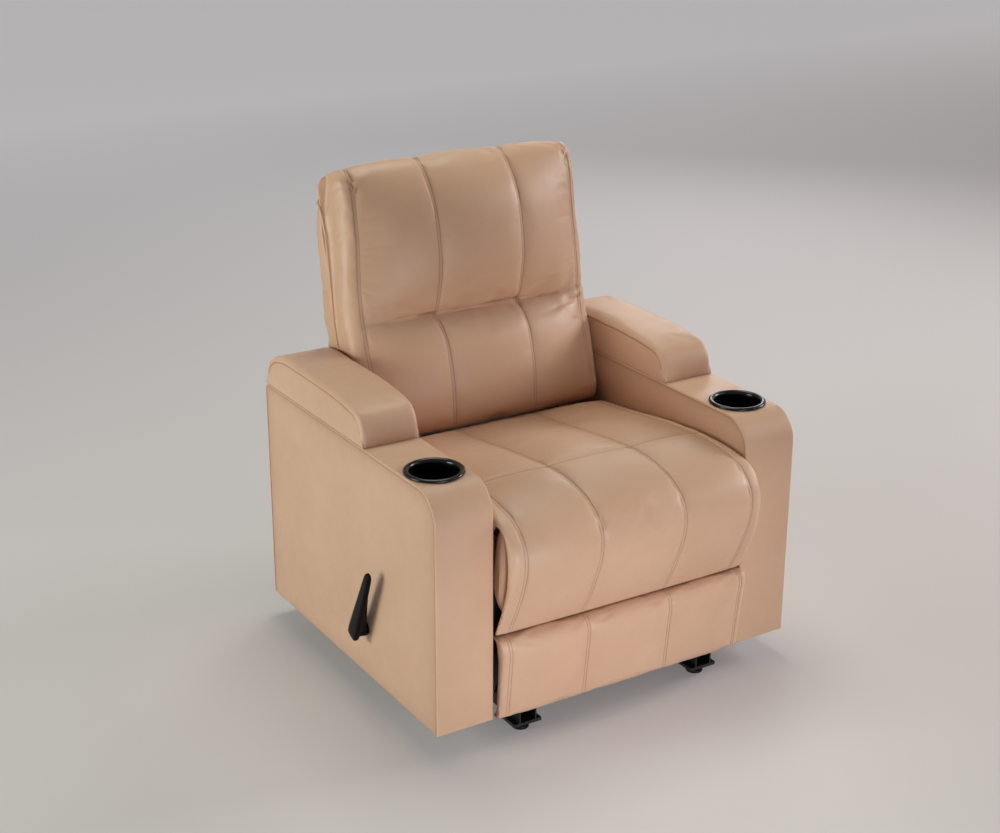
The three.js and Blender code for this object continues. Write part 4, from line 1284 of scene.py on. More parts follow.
def turned(name: str, axis: Sequence[float], profile: Points, sides: int, sideways: bool = False) -> Piece:
    """Model a turned piece from a circle, extruded ring by ring.

    Args:
        name: The piece's name.
        axis: Where its axis crosses the plane at height 0, or at x = 0, in the chair's frame.
        profile: Radius and place of each ring, in order along its surface; the ends are closed flat.
        sides: How many sides each ring has.
        sideways: Whether the axis runs along x and not upwards.

    Returns:
        The new object.
    """
    ahead = np.array([1.0, 0.0, 0.0] if sideways else [0.0, 0.0, 1.0])
    radius, start = profile[0]
    deselect()
    bpy.ops.mesh.primitive_circle_add(vertices=sides, radius=radius * MM, fill_type="NGON",
                                      location=placed(axis + start * ahead),
                                      rotation=(0, math.pi / 2 if sideways else 0, 0))
    piece = bpy.context.object
    piece.name = name
    bpy.ops.object.transform_apply()
    with editing(piece):
        for (before, low), (after, high) in zip(profile, profile[1:]):
            step = tuple((high - low) * MM * ahead)
            bpy.ops.mesh.extrude_region_move(TRANSFORM_OT_translate={"value": step})
            bpy.ops.transform.resize(value=tuple(np.where(ahead, 1.0, after / before)),
                                     center_override=tuple(placed(axis + high * ahead)))
        bpy.ops.mesh.select_all(action="SELECT")
        bpy.ops.mesh.normals_make_consistent(inside=False)
    shade(piece, 35)
    return piece


def both_halves(half: Array) -> Array:
    """Join a half grid, whose first column is at x = 0, to its mirror image.

    Args:
        half: The half towards +X.

    Returns:
        The whole grid, from -X to +X.
    """
    return np.concatenate([half[:, :0:-1] * [-1, 1, 1], half], axis=1)


@dataclass
class Arm(Padded):
    """One arm: its leather cover over the box, the padded top, and the cup holder in its front."""

    side: Side
    half_width: float = 63.5
    middle: float = 366.5
    length: float = 740.0
    underside: float = 57.0
    top: float = 558.0
    front_radius: float = 66.0
    rear_radius: float = 16.0
    edge_radius: float = 3.6
    seam_depth: float = 1.4
    seam_place: float = 4.6
    panel_start: float = 9.0
    panel_inset: float = 0.45
    cover_thickness: float = 9.4
    cup_setback: float = 114.0
    cup_hole: float = 50.5
    lever_axis: tuple[float, float] = (288.0, 165.0)
    lever_hole: float = 9.0
    pad_points: Points = ((283, 558.7), (283.6, 575), (287, 592), (297, 612), (318, 627), (358, 634.5),
                          (415, 639.5), (480, 641.6), (554, 642.3), (632, 641.8), (676, 635), (702, 624),
                          (720, 610), (730, 592), (733.5, 575), (735, 558.7))
    pad_corner: float = 11.0
    side_steps: int = 46
    skirt: tuple[float, ...] = (0.12, 0.3, 0.5, 0.7, 0.88, 1.0)

    def outline(self, inset: float) -> Array:
        """The arm's side outline from front foot to rear foot, drawn in by an inset.

        Args:
            inset: How far it is drawn in, in millimetres.

        Returns:
            Depth and height of each place; the number of places doesn't depend on the inset.
        """
        front_top, rear_top = self.top - self.front_radius, self.top - self.rear_radius
        rise = np.linspace(0, 1, self.side_steps)
        front = np.column_stack([np.full(len(rise), inset),
                                 self.underside + rise * (front_top - self.underside)])
        turn = np.linspace(0, math.pi / 2, 17)[1:]
        nose = np.column_stack([self.front_radius - (self.front_radius - inset) * np.cos(turn),
                                front_top + (self.front_radius - inset) * np.sin(turn)])
        along = np.linspace(self.front_radius, self.length - self.rear_radius, 66)[1:]
        flat = np.column_stack([along, np.full(len(along), self.top - inset)])
        turn = np.linspace(0, math.pi / 2, 7)[1:]
        heel = np.column_stack([self.length - self.rear_radius + (self.rear_radius - inset) * np.sin(turn),
                                rear_top + (self.rear_radius - inset) * np.cos(turn)])
        rear = np.column_stack([np.full(len(rise) - 1, self.length - inset),
                                self.underside + rise[::-1][1:] * (rear_top - self.underside)])
        return np.vstack([front, nose, flat, heel, rear])

    def strip(self) -> tuple[Array, Array]:
        """The leather strip over front, top and rear, with its rolled edges down to the side seams.

        Returns:
            The strip's points and each point's painted seam shade.
        """
        flat = np.array([0, 12, 24, 36, 46, 52, self.half_width - self.edge_radius])
        turn = np.linspace(0, math.pi / 2, 6)[1:]
        rows = [(x, 0.0, 0.0) for x in flat]
        rows += [(self.half_width - self.edge_radius * (1 - math.sin(angle)),
                  self.edge_radius * (1 - math.cos(angle)), 0.0) for angle in turn]
        # painted shade: the seam rows get the darkest values, fading over the rolled edge
        rows += [(self.half_width - self.seam_depth, self.seam_place, 1.0),
                 (self.half_width - 0.9, self.seam_place + 1.7, 0.7),
                 (self.half_width - self.panel_inset, self.panel_start, 0.35)]
        outlines = [self.outline(inset) for _, inset, _ in rows]
        half = np.stack([np.column_stack([np.full(len(line), x), line])
                         for (x, _, _), line in zip(rows, outlines)], axis=1)
        shades = np.array([dark for _, _, dark in rows])
        shades = np.concatenate([shades[:0:-1], shades])
        points = both_halves(half)
        fill = 2.0 * np.clip(1 - (points[:, :, 0] / 60) ** 2, 0, 1)
        low = smooth_step(points[:, :, 2], 60, 110) * (1 - smooth_step(points[:, :, 2], 430, 500))
        points[:, :, 1] -= fill * low * (points[:, :, 1] < 200)
        return points, np.broadcast_to(shades, points.shape[:2]).copy()

    def panel(self, way: int) -> tuple[Array, Array]:
        """One flat side of the cover, inside its seam, softly filled.

        Args:
            way: 1 for the side towards +X and -1 for the other.

        Returns:
            The panel's points and their painted seam shades, darker towards the border.
        """
        line = self.outline(self.panel_start)
        steps = self.side_steps
        front, rear = line[:steps], line[-steps:][::-1]
        top = line[steps - 1:1 - steps]
        across = (top[:, 0] - top[0, 0]) / (top[-1, 0] - top[0, 0])
        floor = np.column_stack([top[:, 0], np.full(len(top), self.underside)])
        rise = np.linspace(0, 1, steps)[:, None, None]
        u = across[None, :, None]
        ruled = (1 - rise) * floor[None] + rise * top[None]
        sides = (1 - u) * front[:, None] + u * rear[:, None]
        corners = ((1 - rise) * ((1 - u) * floor[0] + u * floor[-1])
                   + rise * ((1 - u) * top[0] + u * top[-1]))
        flat = ruled + sides - corners
        fill = 1 - np.maximum(np.abs(2 * across[None, :] - 1), np.abs(2 * rise[:, :, 0] - 1)) ** 6
        wave = (0.18 * np.sin(flat[:, :, 0] / 61 + way) * np.sin(flat[:, :, 1] / 47 + 1.3)
                + 0.12 * np.sin(flat[:, :, 0] / 23 + 2.0) * np.sin(flat[:, :, 1] / 38 + way))
        puff = 1.5 if way == self.side.value else 0.4
        x = way * (self.half_width - self.panel_inset + (puff + wave) * fill)
        points = np.concatenate([x[:, :, None], flat], axis=2)
        # painted shade near the border, where the panel meets its seam
        return points, 0.35 * (1 - fill) ** 3

    def cover(self) -> None:
        """Build the cover as a shell with its cup hole and, on the right, its lever hole."""
        points, faces, shades, start = [], [], [], 0
        for grid, dark, flip in [(*self.strip(), False), (*self.panel(1), False), (*self.panel(-1), True)]:
            rows, columns = grid.shape[:2]
            index = start + np.arange(rows * columns).reshape(rows, columns)
            quads = grid_faces(index)
            faces.append(quads[:, ::-1] if flip else quads)
            points.append(grid.reshape(-1, 3))
            shades.append(dark.ravel())
            start += rows * columns
        centred = np.vstack(points) + [self.side.value * self.middle, 0, 0]
        piece = mesh_piece(f"arm_cover_{self.side.word}_leather", placed(centred), np.vstack(faces))
        set_shade(piece, "seam_shade", np.concatenate(shades))
        with editing(piece):
            bpy.ops.mesh.remove_doubles(threshold=0.00002)
            bpy.ops.mesh.normals_make_consistent(inside=False)
        wall = piece.modifiers.new("wall", "SOLIDIFY")
        wall.thickness = self.cover_thickness * MM
        wall.offset = -1
        apply_modifiers(piece)
        x = self.middle * self.side.value
        self.cut_round(piece, (x, self.cup_setback, self.top), self.cup_hole, 60, "Z")
        if self.side is Side.RIGHT:
            self.cut_round(piece, (x, *self.lever_axis), self.lever_hole, 180, "X")
        shade(piece, 50)
        finish_piece(piece, "carriage", self.finishes.leather, [f"arm_cover_{self.side.word}"])

    def cut_round(self, piece: Piece, place: Sequence[float], radius: float, length: float,
                  axis: str) -> None:
        """Cut a round hole through a piece.

        Args:
            piece: The piece to cut.
            place: The hole's middle in the chair's frame.
            radius: Its radius in millimetres.
            length: The cutter's length in millimetres.
            axis: Z for a hole from above, X for one from the side.
        """
        deselect()
        turn = (0, math.pi / 2, 0) if axis == "X" else (0, 0, 0)
        bpy.ops.mesh.primitive_cylinder_add(vertices=48, radius=radius * MM, depth=length * MM,
                                            location=placed(place), rotation=turn)
        cutter = bpy.context.object
        cut = piece.modifiers.new("hole", "BOOLEAN")
        cut.operation = "DIFFERENCE"
        cut.solver = "EXACT"
        cut.object = cutter
        apply_modifiers(piece)
        discard(cutter)

    def pad(self) -> None:
        """Build the padded top of the arm."""
        profile = smooth_curve(self.pad_points, spread(84))
        ahead = np.gradient(profile, axis=0)
        ahead /= np.linalg.norm(ahead, axis=1, keepdims=True)
        inward = np.column_stack([ahead[:, 1], -ahead[:, 0]])
        base = np.column_stack([np.linspace(profile[0, 0], profile[-1, 0], len(profile)),
                                np.full(len(profile), profile[0, 1])])
        corner, flank = self.pad_corner, self.half_width - 0.2
        rows: list[tuple[float, float, float]] = [(x, 0.0, 0.0) for x in
                                                  (0, 9, 18, 27, 36, 43, self.half_width - corner)]
        turn = np.linspace(0, math.pi / 2, 7)[1:]
        rows += [(self.half_width - corner * (1 - math.sin(angle)), corner * (1 - math.cos(angle)), 0.0)
                 for angle in turn]
        # the third value of each column is its painted seam shade; the seam column is darkest
        rows += [(self.half_width - 0.8, corner + 1.2, 0.35), (self.half_width - 2.0, corner + 2.2, 1.0),
                 (self.half_width - 0.9, corner + 3.4, 0.35), (flank, corner + 5.0, 0.0)]
        lift = np.clip(profile[:, 1] - base[:, 1], 0, None)
        columns, shades = [], []
        for x, inset, dark in rows:
            draw = np.minimum(inset, lift * 0.45)
            columns.append(np.column_stack([np.full(len(profile), x), profile + inward * draw[:, None]]))
            shades.append(dark)
        last = columns[-1]
        for share in self.skirt:
            place = last[:, 1:] + share * (base - last[:, 1:])
            bulge = flank + 0.5 * math.sin(math.pi * share) - (1.0 if share == 1.0 else 0)
            columns.append(np.column_stack([np.full(len(profile), bulge), place]))
            shades.append(0.0)
        half = np.stack(columns, axis=1)
        outer = both_halves(half)
        dark = np.concatenate([shades[:0:-1], shades])
        outer[0, :, 2] = outer[-1, :, 2] = base[0, 1]
        inner = outer.copy()
        even = np.linspace(-1, 1, outer.shape[1])
        inner[1:-1, 1:-1, 0] = even[None, 1:-1] * (self.half_width - 2)
        inner[1:-1, 1:-1, 1:] = base[1:-1, None, :]
        shift = [self.side.value * self.middle, 0, 0]
        piece = Skin(placed(outer + shift), placed(inner + shift)).build(f"arm_pad_{self.side.word}_leather")
        count = outer.shape[0] * outer.shape[1]
        held = np.zeros((outer.shape[0], outer.shape[1]))
        held[:, dark > 0.3] = 1
        hidden = len(self.skirt) + 1
        held[:, :hidden] = held[:, -hidden:] = 1
        held[:2] = held[-2:] = 1
        inside = len(piece.data.vertices) - count
        self.padding.fill(piece, np.concatenate([held.ravel(), np.ones(inside)]))
        values = np.zeros(len(piece.data.vertices))
        values[:count] = np.broadcast_to(dark, outer.shape[:2]).ravel()
        set_shade(piece, "seam_shade", values)
        shade(piece, 60)
        finish_piece(piece, "carriage", self.finishes.leather, [f"arm_pad_{self.side.word}"])

    def cup(self) -> None:
        """Build the cup holder: a glossy cup with a rounded flange, a stepped mouth and a ribbed floor."""
        seat = self.top + 0.3
        profile = [(44, 484), (48.6, 484), (49.4, 486), (49.5, seat), (58.6, seat), (59.6, seat + 0.8),
                   (60, seat + 2.2), (59.4, seat + 4.0), (57.6, seat + 5.4), (55, seat + 6),
                   (52.4, seat + 5.6), (50.4, seat + 4.4), (49.2, seat + 2.6), (48.4, seat + 0.6),
                   (47.6, seat - 6), (47.2, 520), (46.4, 494), (45.4, 489.6), (42.4, 487.2), (38, 486.4),
                   (22, 486.4), (21, 487.4), (19, 487.4), (18, 486.4), (9, 486.4), (8, 487.4), (2, 487.4)]
        axis = (self.side.value * self.middle, self.cup_setback, 0)
        piece = turned(f"cup_holder_{self.side.word}_moulded", axis, profile, 72)
        finish_piece(piece, "carriage", self.finishes.gloss, [f"cup_holder_{self.side.word}"])

    def build(self) -> None:
        """Build every piece of the arm."""
        self.cover()
        self.pad()
        self.cup()


def tube(name: str, path: Array, radius: float, sides: int = 8) -> Piece:
    """A leather welt: a thin round cord along a path, with closed ends.

    Args:
        name: The piece's name.
        path: The points it follows, in the chair's frame.
        radius: Its radius in millimetres.
        sides: How many sides its section has.

    Returns:
        The new object.
    """
    ahead = np.gradient(path, axis=0)
    ahead /= np.linalg.norm(ahead, axis=1, keepdims=True)
    across = np.cross(ahead, [0.0, 1.0, 0.0])
    across /= np.linalg.norm(across, axis=1, keepdims=True)
    up = np.cross(ahead, across)
    turn = np.linspace(0, 2 * math.pi, sides, endpoint=False)
    rings = (path[:, None] + radius * (np.cos(turn)[None, :, None] * across[:, None]
                                       + np.sin(turn)[None, :, None] * up[:, None]))
    return ringed(name, rings)


def ringed(name: str, rings: Array) -> Piece:
    """Model a solid from rings of points, closed flat at both ends.

    Args:
        name: The piece's name.
        rings: The rings in order, all with the same number of points, in the chair's frame.

    Returns:
        The new object.
    """
    index = np.arange(rings.shape[0] * rings.shape[1]).reshape(rings.shape[:2])
    faces = [list(face) for face in grid_faces(np.column_stack([index, index[:, :1]]))]
    faces += [list(index[0][::-1]), list(index[-1])]
    return closed_outwards(mesh_piece(name, placed(rings.reshape(-1, 3)), faces))


def closed_outwards(piece: Piece) -> Piece:
    """Merge a piece's doubles, turn its faces outwards and shade it smooth.

    Args:
        piece: The piece to close.

    Returns:
        The same piece.
    """
    with editing(piece):
        bpy.ops.mesh.remove_doubles(threshold=0.00001)
        bpy.ops.mesh.normals_make_consistent(inside=False)
    shade(piece, 60)
    return piece


@dataclass
class FoamRoll:
    """A covered foam block: one section carried across the chair, with rounded ends."""

    name: str
    section: Points
    half_width: float
    rounding: float
    taper: float
    widest: float = 345.0
    low_reach: float = 58.0
    high_reach: float = 135.0
    count: int = 110
    fullness: float = 1.5

    def build(self) -> Piece:
        """Build the closed, softly filled block.

        Returns:
            The new object.
        """
        outline = smooth_curve(list(self.section) + [self.section[0]], spread(self.count + 1))[:-1]
        ahead = np.roll(outline, -1, 0) - np.roll(outline, 1, 0)
        ahead /= np.linalg.norm(ahead, axis=1, keepdims=True)
        outward = np.column_stack([ahead[:, 1], -ahead[:, 0]])
        outward *= np.sign(((outline - outline.mean(0)) * outward).sum())
        turn = np.linspace(0, math.pi / 2, 7)
        straight = np.linspace(0, self.half_width - self.rounding, 14)[:-1]
        places = np.concatenate([straight, self.half_width - self.rounding * (1 - np.sin(turn)),
                                 [self.half_width + 0.8, self.half_width + 1.2]])
        insets = np.concatenate([np.zeros(13), self.rounding * (1 - np.cos(turn)),
                                 self.rounding * np.array([1.15, 1.3])])
        fill = self.fullness * (1 - (places / self.half_width).clip(0, 1) ** 2)
        reach = np.where(outline[:, 1] < self.widest, self.low_reach, self.high_reach)
        away = (outline[:, 1] - self.widest) / reach
        narrow = 1 - self.taper / self.half_width * away ** 2
        half = [np.column_stack([x * narrow, outline + outward * (swell - inset)])
                for x, inset, swell in zip(places, insets, fill)]
        return ringed(self.name, np.array([ring * [-1, 1, 1] for ring in half[:0:-1]] + half))


@dataclass
class CrossSeam(Shaping):
    """The seam across the seat, a thin line between its top and its front, with painted shade along it."""

    row: int
    depth: float = 1.2

    def shift(self, outer: Array) -> tuple[Array, Array]:
        """Draw the surface in along the seam, and paint shade along it.

        Args:
            outer: The outer grid in the chair's frame.

        Returns:
            The shift in millimetres and the seam's painted shade.
        """
        middle = outer.shape[1] // 2
        step = np.linalg.norm(np.diff(outer[:, middle], axis=0), axis=1)
        along = np.concatenate([[0], np.cumsum(step)])
        far = np.abs(along - along[self.row])
        edges = smooth_step(300 - np.abs(outer[:, :, 0]), 2, 14)
        hollow = 0.6 * ridge(far, 8.0) + 0.5 * ridge(far, 2.0)
        # painted shade: a thin dark line along the seam
        dark = ridge(far, 1.7)[:, None] * edges
        return -self.depth * hollow[:, None] * edges, dark * 0.6


@dataclass
class Seat(Sewn):
    """The quilted seat cushion with its rolled front, and the covered foam under it."""

    middle: Points = ((491, 464), (387, 475), (274, 491), (171.5, 503), (103, 508), (39, 503), (-13, 488),
                      (-50, 464), (-68, 435), (-70, 400), (-59, 357), (-38, 305), (-18, 264), (-8, 243))
    shoulder: Points = ((491, 458), (387, 470), (274, 487), (171.5, 498), (103, 501), (39, 496), (-16, 482),
                        (-46, 458), (-62, 432), (-65, 400), (-55, 355), (-34, 303), (-15, 264), (-6, 243))
    side: Points = ((491, 443), (387, 457), (274, 472), (171.5, 480), (103, 483), (39, 484), (-6, 479),
                    (-36, 460), (-51, 424), (-54, 385), (-46, 342), (-26, 294), (-10, 260), (-2, 243))
    behind: Points = ((490, 433), (294, 432), (147, 432), (60, 433), (30, 450), (7, 467), (-16, 462),
                      (-27, 438), (-31, 405), (-31, 375), (-27, 343), (-15, 303), (-2, 268), (9, 244))
    nose: Points = ((2, 474), (-10, 467), (-20, 446), (-27, 415), (-29, 380), (-25, 345), (-16, 308),
                    (-9, 291), (-1, 285), (5, 293), (9.5, 318), (11.5, 350), (11.5, 395), (9, 445))
    core: Points = ((486, 331), (486, 380), (486, 430), (380, 430.5), (240, 430.5), (100, 430.5), (34, 430),
                    (28, 424), (27.5, 380), (28, 337), (34, 331), (100, 331), (240, 331), (380, 331))
    edge: float = 300.0
    rows: int = 190
    cross_seam: float = 118.0

    def cushion(self) -> None:
        """Build the seat cushion and its stitching."""
        shares = spread(self.rows, (0.405,), 0.02, 2.0)
        form = QuiltedForm("seat_cushion_leather", *(smooth_curve(line, shares) for line in (
            self.middle, self.shoulder, self.side, self.behind)), np.full(self.rows, self.edge),
            tail_inset=15, end_round=3)
        top = self.rows // 2
        row = int(np.argmin(np.abs(form.middle[:top, 0] - self.cross_seam))) + form.end_rows
        outer, _ = form.grids()
        extra = np.zeros(outer.shape[:2])
        extra[row - 1:row + 2, form.skip:-form.skip] = 0.8
        piece, grid = form.build(self.padding, extra, CrossSeam(row))
        finish_piece(piece, "carriage", self.finishes.leather, ["seat_cushion"])
        self.sew(form, grid, "carriage")
        cross = grid[row, form.tail_steps + 2:-form.tail_steps - 2]
        up = np.tile([0.0, 0.1, 1.0], (len(cross), 1))
        rows = [(cross + np.array([0, way * 0.0028, -way * 0.0003]), up) for way in (-1, 1)]
        cross_stitching = self.thread.sew("seat_cross_stitching", rows)
        finish_piece(cross_stitching, "carriage", self.finishes.thread)

    def build(self) -> None:
        """Build every piece of the seat."""
        self.cushion()
        for name, section, width, rounding, taper in (("seat_nose_leather", self.nose, 299.5, 8.0, 13.0),
                                                      ("seat_core_leather", self.core, 279.0, 10.0, 0.0)):
            piece = FoamRoll(name, section, width, rounding, taper).build()
            finish_piece(piece, "carriage", self.finishes.leather, ["seat_core"])


@dataclass
class Waist(Shaping):
    """The back's waist crease, its small gathers, and the gathers at the top corners, with painted shade in
    the waist creases.
    """

    depth: float = 5.0
    height: float = 703.0
    seam: float = 103.0
    corner: tuple[float, float] = (270.0, 998.0)
    fan: tuple[float, float] = (250.0, 980.0)
    fold_reach: float = 34.0
    fold_count: float = 15.0
    fold_depth: float = 1.9
    fold_start: tuple[float, float] = (960.0, 985.0)

    def shift(self, outer: Array) -> tuple[Array, Array]:
        """Fold the surface in at the waist, gather it at the top corners, and paint shade into the waist
        creases.

        Args:
            outer: The outer grid in the chair's frame.

        Returns:
            The shift in millimetres and the folds' shade.
        """
        x, z = outer[:, :, 0], outer[:, :, 2]
        front = 1 - smooth_step(outer[:, :, 1], 600, 640)
        line = self.height + 3 * np.cos(math.pi * x / 560) + 1.6 * np.sin(x / 37) + 0.9 * np.sin(x / 11)
        across = smooth_step(x, -292, -150) * (1 - smooth_step(x, 292, 306))
        near_seam = ridge(np.abs(x) - self.seam, 22)
        far = z - line
        fold = ridge(far, 4.5, 1.2) * across
        pucker = ridge(far, 20) * across * (0.25 + near_seam)
        pucker *= np.sin(x / 4.2 + 1.5 * np.sin(x / 23))
        low_line = line - 24 + 0.10 * (x - 230)
        low_reach = smooth_step(x, 120, 220) * (1 - smooth_step(x, 292, 306))
        second = ridge(z - low_line, 4.0, 1.3) * low_reach
        left_line = line + 0.16 * (x + 250) - 12
        left_reach = smooth_step(x, -292, -262) * (1 - smooth_step(x, -215, -160))
        third = ridge(z - left_line, 5.0, 1.4) * left_reach
        shift = (-self.depth * fold + 0.7 * pucker - 3.0 * second - 1.2 * third) * front
        # painted shade along the waist crease and the smaller fold below it
        dark = ridge(far, 1.8, 1.6) * across + 0.5 * ridge(z - low_line, 1.8, 1.6) * low_reach
        away = np.hypot(np.abs(x) - self.corner[0], (z - self.corner[1]) * 0.75)
        turn = np.arctan2(z - self.fan[1], np.abs(x) - self.fan[0])
        folds = ridge(away, self.fold_reach) * np.sin(turn * self.fold_count) * self.fold_depth
        top = smooth_step(z, *self.fold_start)
        return shift + folds * top, np.clip(dark * front, 0, 1) * 0.8


@dataclass
class PostRest(Shaping):
    """The rear panel's hidden side, hollowed where the back's posts and rail stand."""

    reach: Array
    half_width: float = 247.0
    height: float = 903.0

    def inside(self, inner: Array) -> Array:
        """Move the hidden grid back behind the posts.

        Args:
            inner: The inner grid in the chair's frame.

        Returns:
            The fitted grid.
        """
        fitted = inner.copy()
        post = (np.abs(inner[:, :, 0]) < self.half_width) & (inner[:, :, 2] < self.height)
        fitted[1:-1, 1:-1, 1] += (post * self.reach[:, None])[1:-1, 1:-1]
        return fitted


@dataclass
class Back(Sewn):
    """The tilting back: one quilted front cover with a waist crease, and the padded panel behind it.

    The profiles give depth and height. The slit is the line between cover and panel: its depth and its
    half width are given by height, and so is how far the panel swells.
    """

    middle: Points = ((703, 952), (705, 980), (691, 1010), (665, 1028), (637, 1028), (614, 1015),
                      (577, 977), (551, 931), (537, 872), (532, 822), (537, 779), (549, 738), (562, 716),
                      (573, 704), (562, 697), (540, 688), (511, 660), (494, 611), (484, 563), (482, 514),
                      (483, 487), (491, 468), (509, 457))
    shoulder: Points = ((703, 951), (705, 976), (693, 1004), (672, 1019), (650, 1018), (633, 1004),
                        (618, 970), (608, 918), (600, 862), (594, 815), (589, 779), (584, 742), (581, 722),
                        (577, 706), (572, 692), (569, 673), (558, 637), (543, 600), (529, 560), (516, 514),
                        (508, 490), (509, 470), (516, 458))
    side: Points = ((704, 950), (707, 974), (704, 994), (695, 1008), (682, 1009), (670, 992), (659, 956),
                    (650, 906), (644, 858), (639, 815), (635, 779), (630, 742), (626, 722), (621, 706),
                    (615, 690), (607, 670), (592, 637), (578, 603), (568, 563), (561, 514), (557, 490),
                    (557, 472), (561, 459))
    slit: Points = ((370, 612), (643, 637), (719, 651), (802, 664), (882, 675), (922, 687), (945, 702),
                    (962, 712))
    rear: Points = ((706, 953), (709, 938), (711, 905), (711, 853), (711, 791), (710, 706), (706, 629),
                    (698, 560), (687, 500), (671, 381))
    head_edge: float = 295.0
    waist_edge: float = 301.0
    lower_edge: float = 299.0
    panel_edge: float = 306.5
    slit_width: Points = ((640, 301.5), (690, 305), (760, 304), (860, 304), (962, 307))
    tuck: Points = ((0, 948), (0.13, 926), (1, 457))
    corner_draw: float = 8.0
    corner_rise: tuple[float, float] = (980.0, 1010.0)
    top_spread: float = 10.0
    panel_swell: Points = ((760, 0), (830, 4), (880, 8), (925, 3), (953, -6))
    rows: int = 200
    welt_radius: float = 3.2
    welt_foot: float = 392.0
    welt_top: float = 943.0
    welt_corner: float = 10.0

    def half_width(self, height: Array) -> Array:
        """Half width of the front cover: narrow between the arms, widest at the waist.

        Args:
            height: Heights in the chair's frame.

        Returns:
            The half widths.
        """
        wide = self.lower_edge + (self.waist_edge - self.lower_edge) * smooth_step(height, 650, 695)
        return wide + (self.head_edge - self.waist_edge) * smooth_step(height, 750, 870)

    def cushion(self) -> None:
        """Build the front cover of the back and its stitching."""
        shares = spread(self.rows, (0.06, 0.12, 0.555), 0.035, 1.6)
        middle, shoulder, side = (smooth_curve(line, shares)
                                  for line in (self.middle, self.shoulder, self.side))
        height = read_line(self.tuck, shares)
        behind = np.column_stack([read_line(self.slit, height) - 3.0, height])
        edge = self.half_width(side[:, 1]) - self.corner_draw * smooth_step(side[:, 1], *self.corner_rise)
        edge += self.top_spread * (1 - smooth_step(shares, 0.04, 0.11))
        form = QuiltedForm("back_cushion_leather", middle, shoulder, side, behind, edge,
                           Quilting(seam=103, bolster=28, fullness=3), face_power=2.1,
                           tail_inset=edge - read_line(self.slit_width, height), tail_steps=8, end_round=3)
        outer, _ = form.grids()
        x, y, z = outer[:, :, 0], outer[:, :, 1], outer[:, :, 2]
        crease = (np.abs(z - 704) < 3) & (y < 600) & (np.abs(x - 40) < 240)
        piece, grid = form.build(self.padding, crease.astype(float), Waist())
        finish_piece(piece, "back", self.finishes.leather, ["head_cushion", "lumbar_cushion"])
        self.sew(form, grid, "back", 14)

    def panel(self) -> None:
        """Build the padded rear panel and its stitching."""
        rows = 120
        middle = smooth_curve(self.rear, spread(rows))
        slit = read_line(self.slit, middle[:, 1])
        thickness = np.maximum(middle[:, 0] - slit, 1.0)
        shoulder = middle - np.column_stack([np.minimum(2.5, thickness * 0.2), np.zeros(rows)])
        side = np.column_stack([slit + thickness * 0.6, middle[:, 1]])
        behind = np.column_stack([slit + np.minimum(2.4, thickness * 0.3), middle[:, 1]])
        low = read_line(self.slit_width, 0) - 1.0
        edge = low + (self.panel_edge - low) * smooth_step(middle[:, 1], 650, 700)
        edge += read_line(self.panel_swell, middle[:, 1])
        form = QuiltedForm("back_panel_leather", middle, shoulder, side, behind, edge,
                           Quilting(bolster=15, fullness=2.5), face_power=6, tail_inset=4, end_round=2)
        outer, _ = form.grids()
        reach = np.interp(outer[:, 0, 2], middle[::-1, 1], np.clip(thickness[::-1] - 6, 0, 25))
        piece, grid = form.build(self.padding, None, PostRest(reach))
        finish_piece(piece, "back", self.finishes.leather, ["back_panel"])
        self.sew(form, grid, "back", 9)

    def welt(self) -> None:
        """Sew the welt that runs up one side, over the top and down the other, between cover and panel."""
        height = np.linspace(self.welt_foot, self.welt_top, 90)
        edge = read_line(self.slit_width, height) + 0.5
        rise = np.column_stack([edge, read_line(self.slit, height), height])
        turn = np.linspace(0, math.pi / 2, 8)[1:]
        x = edge[-1] - self.welt_corner * (1 - np.cos(turn))
        corner = np.column_stack([x, np.full(7, read_line(self.slit, 951.0)),
                                  self.welt_top + self.welt_corner * np.sin(turn)])
        over = np.linspace(x[-1], -x[-1], 60)[1:-1]
        top = np.column_stack([over, np.full(58, corner[-1, 1]),
                               np.full(58, self.welt_top + self.welt_corner)])
        half = np.vstack([rise, corner])
        path = np.vstack([half, top, half[::-1] * [-1, 1, 1]])
        piece = tube("back_welt_leather", path, self.welt_radius)
        finish_piece(piece, "back", self.finishes.leather)

    def build(self) -> None:
        """Build every padded piece of the back."""
        self.cushion()
        self.panel()
        self.welt()


@dataclass
class Legrest(Sewn):
    """The quilted legrest pad, stowed below the seat front."""

    middle: Points = ((10, 236.5), (-7, 237), (-22.4, 233), (-31, 220), (-32.5, 205), (-31, 190),
                      (-24.3, 133), (-17, 72), (-12, 60.5), (-4, 58.5), (10, 58.5))
    shoulder: Points = ((10, 236), (-8, 236.5), (-22.8, 233), (-30.5, 220), (-31, 205), (-29, 190),
                        (-22.6, 133), (-15.4, 72), (-11, 60.5), (-4, 58.5), (10, 58.5))
    side: Points = ((10, 233.5), (-9, 234), (-17, 231.5), (-20.6, 222), (-20, 205), (-18, 183),
                    (-12, 129.6), (-6.5, 72), (-4, 61), (-1, 59), (10, 59))
    behind: Points = ((11.6, 229), (11.6, 66))
    edge: float = 299.6
    rows: int = 76

    def build(self) -> None:
        """Build the legrest pad and its stitching."""
        shares = spread(self.rows)
        lines = [smooth_curve(line, shares) for line in (self.middle, self.shoulder, self.side, self.behind)]
        edge = self.edge - 3.0 * smooth_step(225 - lines[2][:, 1], 0, 40)
        form = QuiltedForm("legrest_pad_leather", *lines, edge, Quilting(bolster=17, fullness=2.5),
                           tail_inset=20, end_round=0.4)
        piece, grid = form.build(self.padding)
        finish_piece(piece, "legrest", self.finishes.leather, ["legrest_pad"])
        self.sew(form, grid, "legrest", 14)


